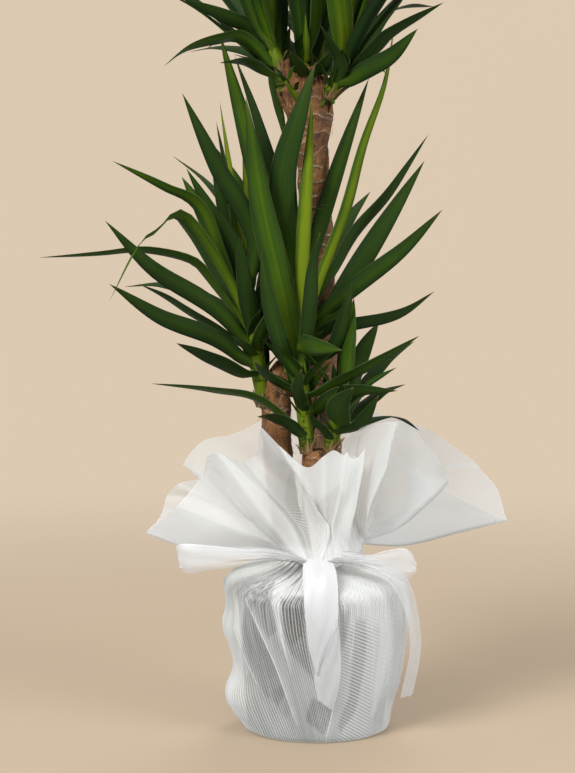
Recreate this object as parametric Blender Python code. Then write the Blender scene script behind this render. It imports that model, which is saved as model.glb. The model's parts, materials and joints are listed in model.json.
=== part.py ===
"""A potted yucca: three canes in a nursery pot, wrapped in white net that a ribbon bow ties.

Metres, +Z up, origin under the middle of the pot, front towards -Y.
Run it with: blender --background --python part.py
"""

import math
import random

import bmesh
import bpy
from mathutils import Vector
from mathutils.bvhtree import BVHTree

CM = 0.01
GAP = 0.0003  # what touching pieces keep between them
SHARP_DEGREES = 50
FINE_STEPS = 12  # points of a smooth line between two of its given points

# Pot
POT_RIM_RADIUS = 0.1085
POT_FOOT_RADIUS = 0.0935
POT_HEIGHT = 0.192
POT_WALL = 0.0022
POT_LIP_WIDTH = 0.0035
POT_LIP_HEIGHT = 0.012
POT_SIDES = 28  # the soil has as many, so that it follows the wall
DRAIN_HOLES = 5
DRAIN_RADIUS = 0.005
DRAIN_RING = 0.062
DRAIN_SIDES = 8
MIDDLE_DRAIN_RADIUS = 0.0205
CUTTER_SPARE = 0.01  # how far a cutter stands out of what it cuts

# Soil
SOIL_TOP = 0.172
SOIL_SHOULDER = 0.004  # how far its rim lies below its top
SOIL_ROUGHNESS = 0.0025

# Net wrap
NET_THICKNESS = 0.0012
NET_COLUMNS_PER_PLEAT = 4
NET_PLEATS = 14
NECK_FOOT = 0.2340
NECK_TOP = 0.2515
NECK_RADIUS = 0.0585

# Ribbon
RIBBON_WIDTH = 0.046
RIBBON_THICKNESS = 0.0012
BAND_HEIGHT = 0.014
BAND_RADIUS = NECK_RADIUS + 0.0045
BAND_SIDES = 32
KNOT = Vector((0.002, -0.076, 0.2450))
KNOT_REACH = Vector((0.0170, 0.0130, 0.0115))
KNOT_SHAPE = ((-1, 0.45), (-0.6, 0.9), (0, 1.0), (0.6, 0.9), (1, 0.45))
KNOT_SIDES = 10
# The middle lines of its tails and loops in cm, and its width along them as shares of the whole
FRONT_TAIL = (
    (0.2, -8.2, 24.6), (0.4, -11.0, 23.3), (0.6, -12.9, 20.0),
    (0.7, -13.0, 14.0), (0.9, -12.7, 8.0), (1.4, -12.2, 3.6),
)
FRONT_TAIL_WIDTHS = (0.35, 0.8, 1, 1, 1, 1, 0.7)
SIDE_TAIL = (
    (2.0, -7.6, 24.6), (6.0, -8.6, 24.2), (10.2, -8.4, 22.2),
    (12.6, -6.9, 18.0), (13.4, -6.4, 12.0), (12.2, -6.0, 5.4),
)
SIDE_TAIL_WIDTHS = (0.35, 0.45, 0.6, 0.8, 0.8, 0.8, 0.8)
RIGHT_LOOP = (
    (1.4, -7.9, 24.7), (6.5, -9.3, 24.8), (12.0, -9.4, 23.8), (14.2, -8.2, 23.0),
    (12.0, -7.2, 23.0), (6.5, -7.5, 24.2), (1.4, -7.5, 24.7),
)
LEFT_LOOP = (
    (-1.0, -7.9, 24.7), (-7.0, -10.2, 24.6), (-14.0, -10.6, 24.0), (-18.4, -9.4, 23.8),
    (-14.0, -8.0, 24.0), (-7.0, -8.0, 24.4), (-1.0, -7.5, 24.7),
)
LOOP_WIDTHS = (0.35, 0.5, 0.8, 0.9, 0.9, 0.9, 0.8, 0.5, 0.35)

# Canes
CANE_SIDES = 9
SCAR_SPACING = 0.030
SCAR_DEPTH = 0.0009
CANE_TOP_ROUNDING = 0.003

# Leaves
SECTION_LENGTH = 0.070
SECTIONS = (3, 6)  # the fewest and the most that a blade has
LINE_POINTS = 13  # points on a blade's middle line
LEAF_THICKNESS = 0.0016
LEAF_LEAST_WIDTH = 0.026
WIDEST_AT = 0.42  # share of a blade's length
ROOT_WIDTH = 0.38  # share of its greatest width
ROOT_FOLD = 26  # degrees that each half rises at the root, and near the tip
TIP_FOLD = 6
CLEARANCE = 0.0009  # added all round a blade while it is placed
FREE_ROOT = 0.10  # share of a blade, from its root, that may meet its own shoot
DEPTH_STEP = 0.7  # cm that a seen leaf moves along the line of sight to come clear
DEPTH_TRIES = 32
RULE_TRIES = 120
RULE_STEPS = 4
RULE_WIDTHS = (0.028, 0.037)
BUD_WIDTHS = (0.008, 0.008)
BUD_LENGTH = 10  # cm: shorter leaves have the bud's widths
GOLDEN_ANGLE = 137.5
STEM_SIDES = 8
STEM_SWELL = (1, 1.05, 0.95, 0.75, 0.35)
LARGEST_SCRAP = 0.01
LARGEST_HOLLOW = 0.05
SEED = 7

# Where the plant was looked at from, to place a leaf seen at a front view position at any depth
EYE = Vector((-0.039, -2.5, 0.66))

COLOURS = {
    "pot": ((0.060, 0.052, 0.042), 0.55),
    "soil": ((0.045, 0.028, 0.016), 0.95),
    "net": ((0.86, 0.87, 0.86), 0.60),
    "ribbon": ((0.90, 0.90, 0.90), 0.35),
    "cane": ((0.24, 0.13, 0.065), 0.85),
    "leaf": ((0.045, 0.120, 0.022), 0.42),
}

# Each cane: radius, and its middle line as (x, y, z) in cm from the foot up
CANES = {
    "cane_tall": (
        2.2, ((2.4, 2.2, 8.5), (1.75, 2.3, 23), (0.9, 2.0, 48), (-0.4, 1.4, 76), (-1.2, 1.0, 86))
    ),
    "cane_middle": (2.0, ((-2.3, 0.6, 8.5), (-3.3, 0.4, 23), (-5.2, 0.0, 37), (-5.4, -0.2, 46.3))),
    "cane_short": (2.2, ((0.4, -2.9, 8.5), (0.3, -3.1, 23), (0.1, -3.6, 38.3))),
}
KNOB_RADIUS = 3.1 * CM  # the tall cane widens under its crown
KNOB_LENGTH = 0.055
STUB_RADIUS = 1.75 * CM  # its side branch, cut short
STUB_LINE = ((-0.9, 1.2, 80.5), (-2.6, 0.4, 84.0), (-4.2, -0.6, 87.0))
STUB_SECTIONS = 5

# Each shoot: its cane, stem radius, stem foot and stem top in cm at the front view, with depth
SHOOTS = {
    "shoot_tall_left": ("cane_tall", 1.05, (-3.8, 85.0, -0.6), (-6.0, 92.5, -2.0)),
    "shoot_tall_centre": ("cane_tall", 1.05, (-1.5, 84.5, 0.6), (-1.5, 93.5, 0.5)),
    "shoot_tall_right": ("cane_tall", 1.05, (0.6, 83.0, -0.3), (4.0, 91.0, -3.0)),
    "shoot_tall_back": ("cane_tall", 1.05, (-0.3, 84.0, 2.6), (0.5, 93.0, 8.0)),
    "shoot_tall_bud": ("cane_tall", 0.45, (-2.1, 84.6, -1.2), (-4.2, 87.5, -4.6)),
    "shoot_middle_left": ("cane_middle", 1.15, (-7.0, 43.6, -0.5), (-9.5, 59.5, -1.5)),
    "shoot_middle_right": ("cane_middle", 1.1, (-4.3, 44.8, 0.2), (-2.7, 57.0, -0.9)),
    "shoot_short_left": ("cane_short", 1.1, (-1.1, 37.2, -4.2), (-2.5, 53.0, -5.6)),
    "shoot_short_right": ("cane_short", 0.95, (1.7, 37.4, -4.2), (3.5, 45.5, -5.6)),
}

# Leaves seen in the photograph, by shoot: place on the stem from 0 to 1, width seen in cm,
# and the blade's course to its tip as front view cm across, front view cm up and depth
SEEN_LEAVES = {
    "shoot_tall_left": (
        (0.35, 1.8, ((-9.5, 93, -4), (-13, 93, -8), (-17, 92, -12), (-20.5, 89.5, -16))),
        (0.30, 1.2, ((-9.5, 90, -4), (-13, 90, -9))),
        (0.55, 2.4, ((-8, 94, -2), (-12, 96, -4), (-18, 98.5, -7))),
        (0.80, 2.6, ((-8, 95.5, -3), (-10.5, 102, -5), (-13.5, 109, -6))),
        (0.75, 2.6, ((-10, 97.5, 1), (-15, 104, 4))),
        (0.35, 1.4, ((-7.2, 88.6, -3.4), (-7.4, 85.6, -5.0), (-6.3, 82.0, -6.0), (-5, 78.5, -6.5))),
        (0.90, 3.0, ((-7.5, 98.5, -4), (-7.5, 110, -6), (-9, 119, -5))),
    ),
    "shoot_tall_centre": (
        (0.55, 1.6, ((-1.5, 92.5, -3), (-1.5, 96.5, -5))),
        (0.60, 1.8, ((0, 95.5, -4), (0, 107.5, -8))),
        (0.30, 2.2, ((-2.5, 89.5, -4), (-3.5, 91.5, -8))),
        (0.35, 2.0, ((0.5, 89, -3), (2, 91.5, -7))),
        (0.85, 3.2, ((-2, 101, -1), (-3.5, 114, -4), (-5, 123, -6))),
        (0.90, 3.2, ((-0.5, 101, 2), (1.5, 114, 2), (3.5, 124.5, 0))),
    ),
    "shoot_tall_right": (
        (0.35, 1.8, ((7.5, 91.5, -5), (10, 94, -7), (17, 98, -10))),
        (0.40, 2.8, ((6.5, 89, -6), (10, 91, -9), (13.5, 94.5, -13))),
        (0.60, 2.2, ((6.5, 92.5, 0), (9, 96, 2), (12, 99, 4))),
        (0.75, 3.8, ((3.5, 93, -5), (2.5, 101, -8), (0.5, 108, -11))),
        (0.40, 1.8, ((3, 90, -5), (0.5, 95, -9))),
        (0.70, 1.4, ((6, 95.5, -2), (8.5, 106, -3))),
        (0.85, 3.0, ((4.5, 97, -3), (6.5, 109, -4), (9, 118, -7))),
    ),
    "shoot_tall_back": (),
    "shoot_tall_bud": (),
    "shoot_middle_left": (
        (0.95, 3.0, ((-8.5, 67, -2), (-13.5, 76.5, -4), (-18, 86, -6))),
        (0.95, 1.4, ((-10.5, 67, 3), (-11.5, 74.5, 5), (-13, 85, 7))),
        (1.00, 1.8, ((-9.5, 66.5, 1), (-9.5, 75, 3), (-10, 82, 5))),
        (0.80, 2.6, ((-11, 65, -2), (-14, 70, -3), (-17.5, 76, -4))),
        (0.85, 2.8, ((-11, 63.5, 2), (-12, 68.5, 3), (-14, 76, 4))),
        (0.70, 2.2, ((-12, 61, -3), (-15.5, 70.5, -5), (-20.5, 73.5, -7), (-27.5, 77, -9))),
        (0.60, 1.8, ((-12, 61, -4), (-18, 69.5, -8), (-21.5, 67.5, -10), (-24, 65.5, -11), (-28, 58, -12))),
        (0.45, 2.8, ((-13.5, 57, -4), (-22, 62.5, -7), (-28.5, 69, -10))),
        (0.60, 1.4, ((-14.5, 61, -1), (-17, 63.5, -2), (-23, 65, -4), (-29, 64.5, -6), (-37.5, 64, -8))),
        (0.30, 2.8, ((-13.5, 53, -4), (-21, 56, -8), (-28, 60.5, -12))),
        (0.45, 1.4, ((-15.5, 55.5, 0), (-20, 58.5, 1), (-24, 60.5, 2))),
        (0.25, 2.2, ((-9.5, 48, -3), (-14.5, 50.5, -7), (-19, 52.5, -11))),
        (0.55, 2.8, ((-9.5, 59.5, -5), (-10.5, 67, -8))),
        (0.45, 2.0, ((-7.5, 53.5, -4), (-5, 59, -6))),
    ),
    "shoot_middle_right": (
        (0.60, 3.4, ((-0.5, 53, -2), (7, 65, -1.5), (14.5, 77, 0))),
        (0.80, 1.8, ((2, 61.5, -1.5), (5, 67, 0), (10, 73, 3), (15, 80.5, 7))),
        (0.70, 2.8, ((5, 60, -3), (11.5, 65, -5), (17, 70.5, -7))),
        (0.40, 2.0, ((2, 54.5, -2), (5.5, 55, -1.5), (11.5, 56.5, 1), (16, 59.5, 4))),
        (0.95, 2.6, ((-0.5, 65, -1), (3, 76.5, -1), (7, 88, 0))),
        (0.90, 3.4, ((-4, 65, 1), (-4.5, 74.5, 3), (-2.5, 82, 5), (-0.5, 88.5, 6))),
        (0.80, 3.4, ((-6, 67.5, 1), (-9.5, 81, 3), (-13, 94, 4))),
        (0.85, 2.2, ((-5, 71.5, 3), (-8, 82.5, 6), (-11, 91, 7))),
        (0.30, 2.4, ((2, 51.5, -2), (4, 57, -2), (5, 61, -1))),
    ),
    "shoot_short_left": (
        (0.45, 4.2, ((-4.5, 58.5, -7), (-7.5, 71.5, -8), (-9.5, 85.5, -9))),
        (0.95, 2.0, ((0, 59.5, -6), (4.5, 70.5, -6), (9.5, 87.5, -5), (10, 93.5, -4))),
        (0.15, 1.4, ((-7.5, 44.5, -7), (-13.5, 46, -9), (-22.5, 47, -12))),
        (0.45, 1.8, ((2, 46.5, -8), (7.5, 49.5, -10), (14, 53.5, -12))),
        (0.30, 2.4, ((2, 45, -8), (5.5, 46, -10), (11, 46, -12))),
        (0.85, 3.4, ((-2, 52, -9), (0, 52, -14), (3.5, 51.5, -17))),
        (0.35, 2.2, ((-2.5, 46, -9), (-2, 49, -11))),
        (0.12, 2.0, ((-4, 41.5, -7), (-6.5, 42.5, -9), (-8, 42.5, -12))),
        (0.60, 2.6, ((-4.5, 51.5, -8), (-6.5, 58.5, -10), (-7.5, 65, -11))),
        (0.90, 3.0, ((-2, 61, -6), (-1.5, 71.5, -6), (-1, 80, -5))),
        (0.50, 1.6, ((-6, 47.5, -7), (-8.5, 50, -10))),
        (0.75, 2.4, ((-1, 55.5, -8), (-0.5, 62.5, -9), (0.5, 67.5, -10))),
    ),
    "shoot_short_right": (
        (0.50, 3.8, ((3, 41.5, -8), (3, 44, -11), (5, 46.5, -14))),
        (0.30, 2.2, ((4, 40.5, -7), (6, 41.5, -9), (8.5, 45.5, -11))),
        (0.80, 2.8, ((4.5, 45, -5), (5, 47, -5), (6, 49, -4))),
        (0.20, 1.6, ((0.5, 41, -7), (-1, 43, -9))),
        (0.70, 2.2, ((2, 45, -4), (1, 48, -3))),
    ),
}

# Further leaves by rule: how many, compass range in degrees (90 is away from the front),
# least and greatest length in cm, and the rise of the lowest in degrees
UNSEEN_LEAVES = {
    "shoot_tall_left": (12, (85, 250), (26, 40), 52),
    "shoot_tall_centre": (12, (0, 360), (28, 42), 60),
    "shoot_tall_right": (12, (-60, 90), (26, 38), 56),
    "shoot_tall_back": (18, (48, 135), (26, 40), 18),
    "shoot_tall_bud": (5, (150, 330), (3, 6), 30),
    "shoot_middle_left": (12, (78, 132), (24, 36), 32),
    "shoot_middle_right": (13, (45, 140), (26, 42), 20),
    "shoot_short_left": (6, (70, 120), (16, 28), 30),
    "shoot_short_right": (7, (50, 100), (14, 26), 26),
}

# The net from the middle of its foot to the neck: radius, height and half depth of a pleat
NET_BODY = (
    (0.0955, 0.0, 0.0),
    (0.1010, 0.0065, 0.0),
    (0.1055, 0.0500, 0.0020),
    (0.1115, 0.1050, 0.0035),
    (0.1170, 0.1600, 0.0045),
    (0.1175, 0.1960, 0.0040),
    (0.1010, 0.2100, 0.0035),
    (0.0760, 0.2230, 0.0030),
    (NECK_RADIUS, NECK_FOOT, 0.0020),
    (NECK_RADIUS, NECK_TOP, 0.0020),
)
# The ruff's edge round the compass: degrees, reach from the axis and rise over the neck in cm
RUFF_EDGE = (
    (5, 20.0, 7.0),
    (22, 29.0, 5.0),
    (42, 28.0, 13.0),
    (64, 20.0, 17.0),
    (90, 13.5, 20.0),
    (112, 14.0, 17.5),
    (130, 17.0, 17.0),
    (150, 21.0, 13.0),
    (176, 19.0, 9.5),
    (200, 24.5, 3.5),
    (226, 15.5, 7.5),
    (250, 9.0, 14.0),
    (272, 8.0, 12.0),
    (294, 9.5, 15.0),
    (314, 16.0, 16.5),
    (332, 21.5, 12.0),
    (350, 18.5, 11.0),
)
RUFF_STEPS = (0.10, 0.30, 0.55, 0.80, 1.0)
RUFF_PLEAT = 0.0110  # half depth of a pleat at the edge


def front_view(x, z, depth):
    """The point at this depth that shows at x, z on the pot's axis plane, all in cm."""
    on_axis_plane = Vector((x * CM, 0, z * CM))
    return EYE + (on_axis_plane - EYE) * ((depth * CM - EYE.y) / -EYE.y)


def smooth_line(points, count):
    """count points, evenly spaced, along a Catmull-Rom curve through the given ones."""
    ends = [points[0] * 2 - points[1], *points, points[-1] * 2 - points[-2]]
    fine = []
    for a, b, c, d in zip(ends, ends[1:], ends[2:], ends[3:]):
        square, cube = a * 2 - b * 5 + c * 4 - d, b * 3 - a - c * 3 + d
        for t in (i / FINE_STEPS for i in range(FINE_STEPS)):
            fine.append(b + ((c - a) * t + square * t**2 + cube * t**3) / 2)
    fine.append(points[-1].copy())
    run = [0.0]
    for a, b in zip(fine, fine[1:]):
        run.append(run[-1] + (b - a).length)
    line, k = [], 0
    for i in range(count):
        want = run[-1] * i / (count - 1)
        while k < len(run) - 2 and run[k + 1] < want:
            k += 1
        share = (want - run[k]) / max(run[k + 1] - run[k], 1e-9)
        line.append(fine[k].lerp(fine[k + 1], min(max(share, 0), 1)))
    return line


def tangents(line):
    ends = [line[0], *line, line[-1]]
    return [(c - a).normalized() for a, c in zip(ends, ends[2:])]


def material(kind):
    colour, roughness = COLOURS[kind]
    made = bpy.data.materials.new(kind)
    made.use_nodes = True
    principled = made.node_tree.nodes["Principled BSDF"]
    principled.inputs["Base Color"].default_value = (*colour, 1)
    principled.inputs["Roughness"].default_value = roughness
    principled.inputs["Metallic"].default_value = 0.0
    made.diffuse_color = (*colour, 1)
    return made


def mesh_object(name, points, faces, kind=None):
    mesh = bpy.data.meshes.new(name)
    mesh.from_pydata([tuple(p) for p in points], [], faces)
    mesh.shade_smooth()
    mesh.set_sharp_from_angle(angle=math.radians(SHARP_DEGREES))
    made = bpy.data.objects.new(name, mesh)
    bpy.context.scene.collection.objects.link(made)
    if kind:
        mesh.materials.append(material(kind))
    return made


def loft(rings, closed_ends=True):
    """Faces that join rings of as many points each, turning right-handed about their course."""
    points = [p for ring in rings for p in ring]
    n = len(rings[0])
    faces = []
    for k in range(len(rings) - 1):
        for i in range(n):
            j = (i + 1) % n
            faces.append((k * n + i, k * n + j, (k + 1) * n + j, (k + 1) * n + i))
    if closed_ends:
        last = (len(rings) - 1) * n
        faces.append(tuple(reversed(range(n))))
        faces.append(tuple(range(last, last + n)))
    return points, faces


def circle(centre, radius, sides, turn=0.0):
    angles = [math.tau * i / sides + turn for i in range(sides)]
    return [centre + Vector((math.cos(a), math.sin(a), 0)) * radius for a in angles]


def turned(profile, sides):
    """A closed body of revolution from (radius, height) points, run anticlockwise in the half plane."""
    rings = [circle(Vector((0, 0, z)), r, sides) for r, z in profile]
    points, faces = loft([*rings, rings[0]], closed_ends=False)
    n = len(profile) * sides
    return points[:n], [tuple(i % n for i in face) for face in faces]


def tube(line, radii, sides):
    """A closed tube along a line, its rings square to it."""
    rings = []
    for centre, course, radius in zip(line, tangents(line), radii):
        across = course.cross(Vector((0, 1, 0))).normalized()
        ahead = course.cross(across)
        angles = [math.tau * i / sides for i in range(sides)]
        rings.append([centre + (across * math.cos(a) + ahead * math.sin(a)) * radius for a in angles])
    return loft(rings)


def joined(name, parts, kind=None, cut_by=None):
    """One solid from meshes that overlap: a Boolean union on a collection, applied."""
    first = mesh_object(name, *parts[0], kind)
    others = bpy.data.collections.new(name + "_others")
    bpy.context.scene.collection.children.link(others)
    for i, (points, faces) in enumerate(parts[1:]):
        other = mesh_object(f"{name}_{i}", points, faces)
        bpy.context.scene.collection.objects.unlink(other)
        others.objects.link(other)
    if parts[1:]:
        union = first.modifiers.new("union", "BOOLEAN")
        union.operation = "UNION"
        union.operand_type = "COLLECTION"
        union.collection = others
        union.solver = "EXACT"
        apply_modifiers(first)
    for other in list(others.objects):
        bpy.data.objects.remove(other)
    bpy.data.collections.remove(others)
    if cut_by:
        cut(first, cut_by)
        apply_modifiers(first)
    return first


def cutter(name, parts):
    made = joined(name, parts)
    made.hide_render = True
    made.display_type = "WIRE"
    return made


def drop_scraps(target):
    """Keeps the largest body. The rest are small scraps that a union leaves loose, or hollows
    that fused blades seal, which fill up when their faces go."""
    shape = bmesh.new()
    shape.from_mesh(target.data)
    bodies, seen = [], set()
    for start in shape.verts:
        if start in seen:
            continue
        seen.add(start)
        body, waiting = [], [start]
        while waiting:
            vert = waiting.pop()
            body.append(vert)
            for edge in vert.link_edges:
                other = edge.other_vert(vert)
                if other not in seen:
                    seen.add(other)
                    waiting.append(other)
        bodies.append(body)
    bodies.sort(key=len)
    for body in bodies[:-1]:
        size = max((vert.co - body[0].co).length for vert in body)
        if size > (LARGEST_SCRAP if enclosed_volume(body) > 0 else LARGEST_HOLLOW):
            raise ValueError(f"{target.name} has a loose piece of {size:.3f} m")
        bmesh.ops.delete(shape, geom=body, context="VERTS")
    shape.to_mesh(target.data)
    shape.free()


def enclosed_volume(body):
    """Six times the volume that a body's faces enclose: below zero where they face inwards."""
    total = 0.0
    for face in {face for vert in body for face in vert.link_faces}:
        first, *rest = (vert.co for vert in face.verts)
        total += sum(first.dot(b.cross(c)) for b, c in zip(rest, rest[1:]))
    return total


def cut(target, cutting):
    difference = target.modifiers.new("cut", "BOOLEAN")
    difference.operation = "DIFFERENCE"
    difference.object = cutting
    difference.solver = "EXACT"


def apply_modifiers(target):
    """Replaces the mesh by what the modifiers make of it."""
    graph = bpy.context.evaluated_depsgraph_get()
    graph.update()
    made = bpy.data.meshes.new_from_object(target.evaluated_get(graph))
    target.modifiers.clear()
    target.data = made


def tree_of(points, faces):
    return BVHTree.FromPolygons([tuple(p) for p in points], faces)


# Pot and soil


def pot_inner_radius(height):
    share = (height - NET_THICKNESS) / POT_HEIGHT
    return POT_FOOT_RADIUS + (POT_RIM_RADIUS - POT_FOOT_RADIUS) * share - POT_WALL


def build_pot():
    """The pot's wall, floor and lip, with drain holes, one of them in the middle."""
    foot = NET_THICKNESS + GAP
    top = foot + POT_HEIGHT
    lip = top - POT_LIP_HEIGHT
    lip_radius = POT_RIM_RADIUS + POT_LIP_WIDTH - POT_WALL
    profile = (
        (POT_FOOT_RADIUS, foot),
        (pot_inner_radius(lip) + POT_WALL, lip),
        (lip_radius, lip),
        (lip_radius, top),
        (pot_inner_radius(top), top),
        (pot_inner_radius(foot + POT_WALL), foot + POT_WALL),
        (MIDDLE_DRAIN_RADIUS, foot + POT_WALL),
        (MIDDLE_DRAIN_RADIUS, foot),
    )
    points, faces = turned(profile, POT_SIDES)
    pot = mesh_object("pot", points, faces, "pot")
    holes = []
    for i in range(DRAIN_HOLES):
        angle = math.tau * i / DRAIN_HOLES
        centre = Vector((math.cos(angle), math.sin(angle), 0)) * DRAIN_RING
        ends = (Vector((0, 0, z)) for z in (foot - CUTTER_SPARE, foot + CUTTER_SPARE))
        holes.append(loft([circle(centre + end, DRAIN_RADIUS, DRAIN_SIDES) for end in ends]))
    cut(pot, cutter("pot_hole_cutter", holes))


def build_soil(cane_cutters):
    """The soil that fills the pot, uneven on top, with a plain hole for each cane."""
    foot = NET_THICKNESS + GAP + POT_WALL + GAP
    rim = SOIL_TOP - SOIL_SHOULDER
    rings = [
        circle(Vector((0, 0, foot)), pot_inner_radius(foot) - 2 * GAP, POT_SIDES),
        circle(Vector((0, 0, rim)), pot_inner_radius(SOIL_TOP) - 3 * GAP, POT_SIDES),
    ]
    rng = random.Random(SEED)
    for share in (0.75, 0.25):
        ring = circle(Vector((0, 0, SOIL_TOP)), pot_inner_radius(SOIL_TOP) * share, POT_SIDES)
        rings.append([p + Vector((0, 0, rng.uniform(-1, 1) * SOIL_ROUGHNESS)) for p in ring])
    soil = mesh_object("soil", *loft(rings), "soil")
    for cutting in cane_cutters:
        cut(soil, cutting)


# Canes


def cane_shape(name, extra=0.0):
    """A cane's tube with a leaf scar ring every few cm, grown by extra all round."""
    radius, course = CANES[name]
    course = [Vector(p) * CM for p in course]
    length = sum((b - a).length for a, b in zip(course, course[1:]))
    count = 2 * round(length / SCAR_SPACING) + 1
    line = smooth_line(course, count)
    rng = random.Random(name)
    radii = []
    for i, centre in enumerate(line):
        at_scar = -SCAR_DEPTH if i % 2 else SCAR_DEPTH * rng.uniform(0.4, 1.0)
        own = radius * CM + at_scar
        if name == "cane_tall":
            below_top = (line[-1] - centre).length
            swell = max(0.0, 1 - below_top / KNOB_LENGTH)
            own += (KNOB_RADIUS - radius * CM) * swell * (2 - swell)
        radii.append(own + extra)
    radii[-1] -= CANE_TOP_ROUNDING
    line[0] -= Vector((0, 0, extra))
    line[-1] += Vector((0, 0, extra))
    return tube(line, radii, CANE_SIDES)


def stub_shape(extra=0.0):
    line = smooth_line([Vector(p) * CM for p in STUB_LINE], STUB_SECTIONS)
    line[-1] += (line[-1] - line[-2]).normalized() * extra
    radii = [STUB_RADIUS + extra] * STUB_SECTIONS
    radii[-1] -= CANE_TOP_ROUNDING
    return tube(line, radii, CANE_SIDES)


def cane_parts(name, extra=0.0):
    return [cane_shape(name, extra)] + ([stub_shape(extra)] if name == "cane_tall" else [])


def build_canes():
    """The canes, and for each a cutter GAP larger that fits its neighbours to it."""
    cutters = {}
    for name in CANES:
        joined(name, cane_parts(name), "cane")
        cutters[name] = cutter(name + "_cutter", cane_parts(name, GAP))
    return cutters


# Net wrap


def ruff_edge(angle):
    """Reach and rise of the ruff's edge at this angle, by smooth steps between the listed ones."""
    degrees = math.degrees(angle) % 360
    listed = [(RUFF_EDGE[-1][0] - 360, *RUFF_EDGE[-1][1:]), *RUFF_EDGE]
    listed.append((RUFF_EDGE[0][0] + 360, *RUFF_EDGE[0][1:]))
    for low, high in zip(listed, listed[1:]):
        if low[0] <= degrees <= high[0]:
            t = (degrees - low[0]) / (high[0] - low[0])
            t = t * t * (3 - 2 * t)
            return tuple((a + (b - a) * t) * CM for a, b in zip(low[1:], high[1:]))
    raise ValueError(degrees)


def net_course(angle):
    """The net's line from foot to edge at this angle: (radius, height, half depth of a pleat)."""
    reach, rise = ruff_edge(angle)
    course = list(NET_BODY)
    for step in RUFF_STEPS:
        out = NECK_RADIUS + (reach - NECK_RADIUS) * step ** 1.15
        up = NECK_TOP + rise * math.sin(step * math.pi / 2) ** 0.8
        course.append((out, up, NET_BODY[-1][2] + RUFF_PLEAT * step))
    return course


def net_faces():
    """The net as points on its two sides, column by column, and the faces between them."""
    columns = NET_PLEATS * NET_COLUMNS_PER_PLEAT
    rows = len(NET_BODY) + len(RUFF_STEPS)
    rng = random.Random(SEED)
    deep = [rng.uniform(0.7, 1.15) for _ in range(NET_PLEATS)]
    half = NET_THICKNESS / 2
    sides = ([], [])
    for i in range(columns):
        angle = math.tau * i / columns
        out = Vector((math.cos(angle), math.sin(angle), 0))
        course = net_course(angle)
        wave = math.sin(math.tau * i / NET_COLUMNS_PER_PLEAT) * deep[i // NET_COLUMNS_PER_PLEAT]
        ends = [(0, 0, 0), *course, tuple(2 * a - b for a, b in zip(course[-1], course[-2]))]
        for k, (radius, height, depth) in enumerate(course):
            before, after = ends[k], ends[k + 2]
            along = Vector((after[0] - before[0], after[1] - before[1])).normalized()
            facing = out * along.y - Vector((0, 0, along.x))
            if height == 0:
                facing = Vector((0, 0, -1))  # the foot lies flat
            middle = out * radius + Vector((0, 0, height + half))
            for side, sign in zip(sides, (1, -1)):
                side.append(middle + facing * (depth * wave + sign * half))
    outer, inner = sides
    points = [*outer, *inner, Vector((0, 0, 0)), Vector((0, 0, 2 * half))]
    below, above = len(points) - 2, len(points) - 1
    shift = len(outer)
    faces = []
    for i in range(columns):
        a, b = i * rows, (i + 1) % columns * rows
        faces.append((below, b, a))
        faces.append((above, shift + a, shift + b))
        for k in range(rows - 1):
            faces.append((a + k, b + k, b + k + 1))
            faces.append((a + k, b + k + 1, a + k + 1))
            faces.append((shift + a + k, shift + b + k + 1, shift + b + k))
            faces.append((shift + a + k, shift + a + k + 1, shift + b + k + 1))
        faces.append((a + rows - 1, b + rows - 1, shift + b + rows - 1))
        faces.append((a + rows - 1, shift + b + rows - 1, shift + a + rows - 1))
    return points, faces


# Ribbon


def strip(course, widths, upright):
    """A flat band along a course: upright holds its width near +Z, otherwise it faces outwards."""
    line = smooth_line([Vector(p) * CM for p in course], len(widths))
    rings = []
    for centre, along, width in zip(line, tangents(line), widths):
        wide = Vector((0, 0, 1)) if upright else along.cross(Vector((centre.x, centre.y, 0)))
        wide = (wide - along * wide.dot(along)).normalized()
        half = along.cross(wide) * RIBBON_THICKNESS / 2
        reach = wide * width * RIBBON_WIDTH / 2
        low, high = centre - reach, centre + reach
        rings.append([low - half, high - half, high + half, low + half])
    return loft(rings)


def band_shape():
    outer, inner = BAND_RADIUS + RIBBON_THICKNESS, BAND_RADIUS
    low = (NECK_FOOT + NECK_TOP - BAND_HEIGHT) / 2
    high = low + BAND_HEIGHT
    return turned(((outer, low), (outer, high), (inner, high), (inner, low)), BAND_SIDES)


def knot_shape():
    rings = []
    for share, size in KNOT_SHAPE:
        rings.append([
            KNOT + KNOT_REACH * Vector((share, p.x, p.y)) for p in circle(Vector(), size, KNOT_SIDES)
        ])
    return loft(rings)


def ribbon_parts():
    return [
        band_shape(),
        knot_shape(),
        strip(FRONT_TAIL, FRONT_TAIL_WIDTHS, upright=False),
        strip(SIDE_TAIL, SIDE_TAIL_WIDTHS, upright=False),
        strip(RIGHT_LOOP, LOOP_WIDTHS, upright=True),
        strip(LEFT_LOOP, LOOP_WIDTHS, upright=True),
    ]


# Leaves


def leaf_width(share):
    """A blade's width along its length, as a share of its greatest."""
    if share < WIDEST_AT:
        return ROOT_WIDTH + (1 - ROOT_WIDTH) * math.sin(share / WIDEST_AT * math.pi / 2)
    return 1 - ((share - WIDEST_AT) / (1 - WIDEST_AT)) ** 2


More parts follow.
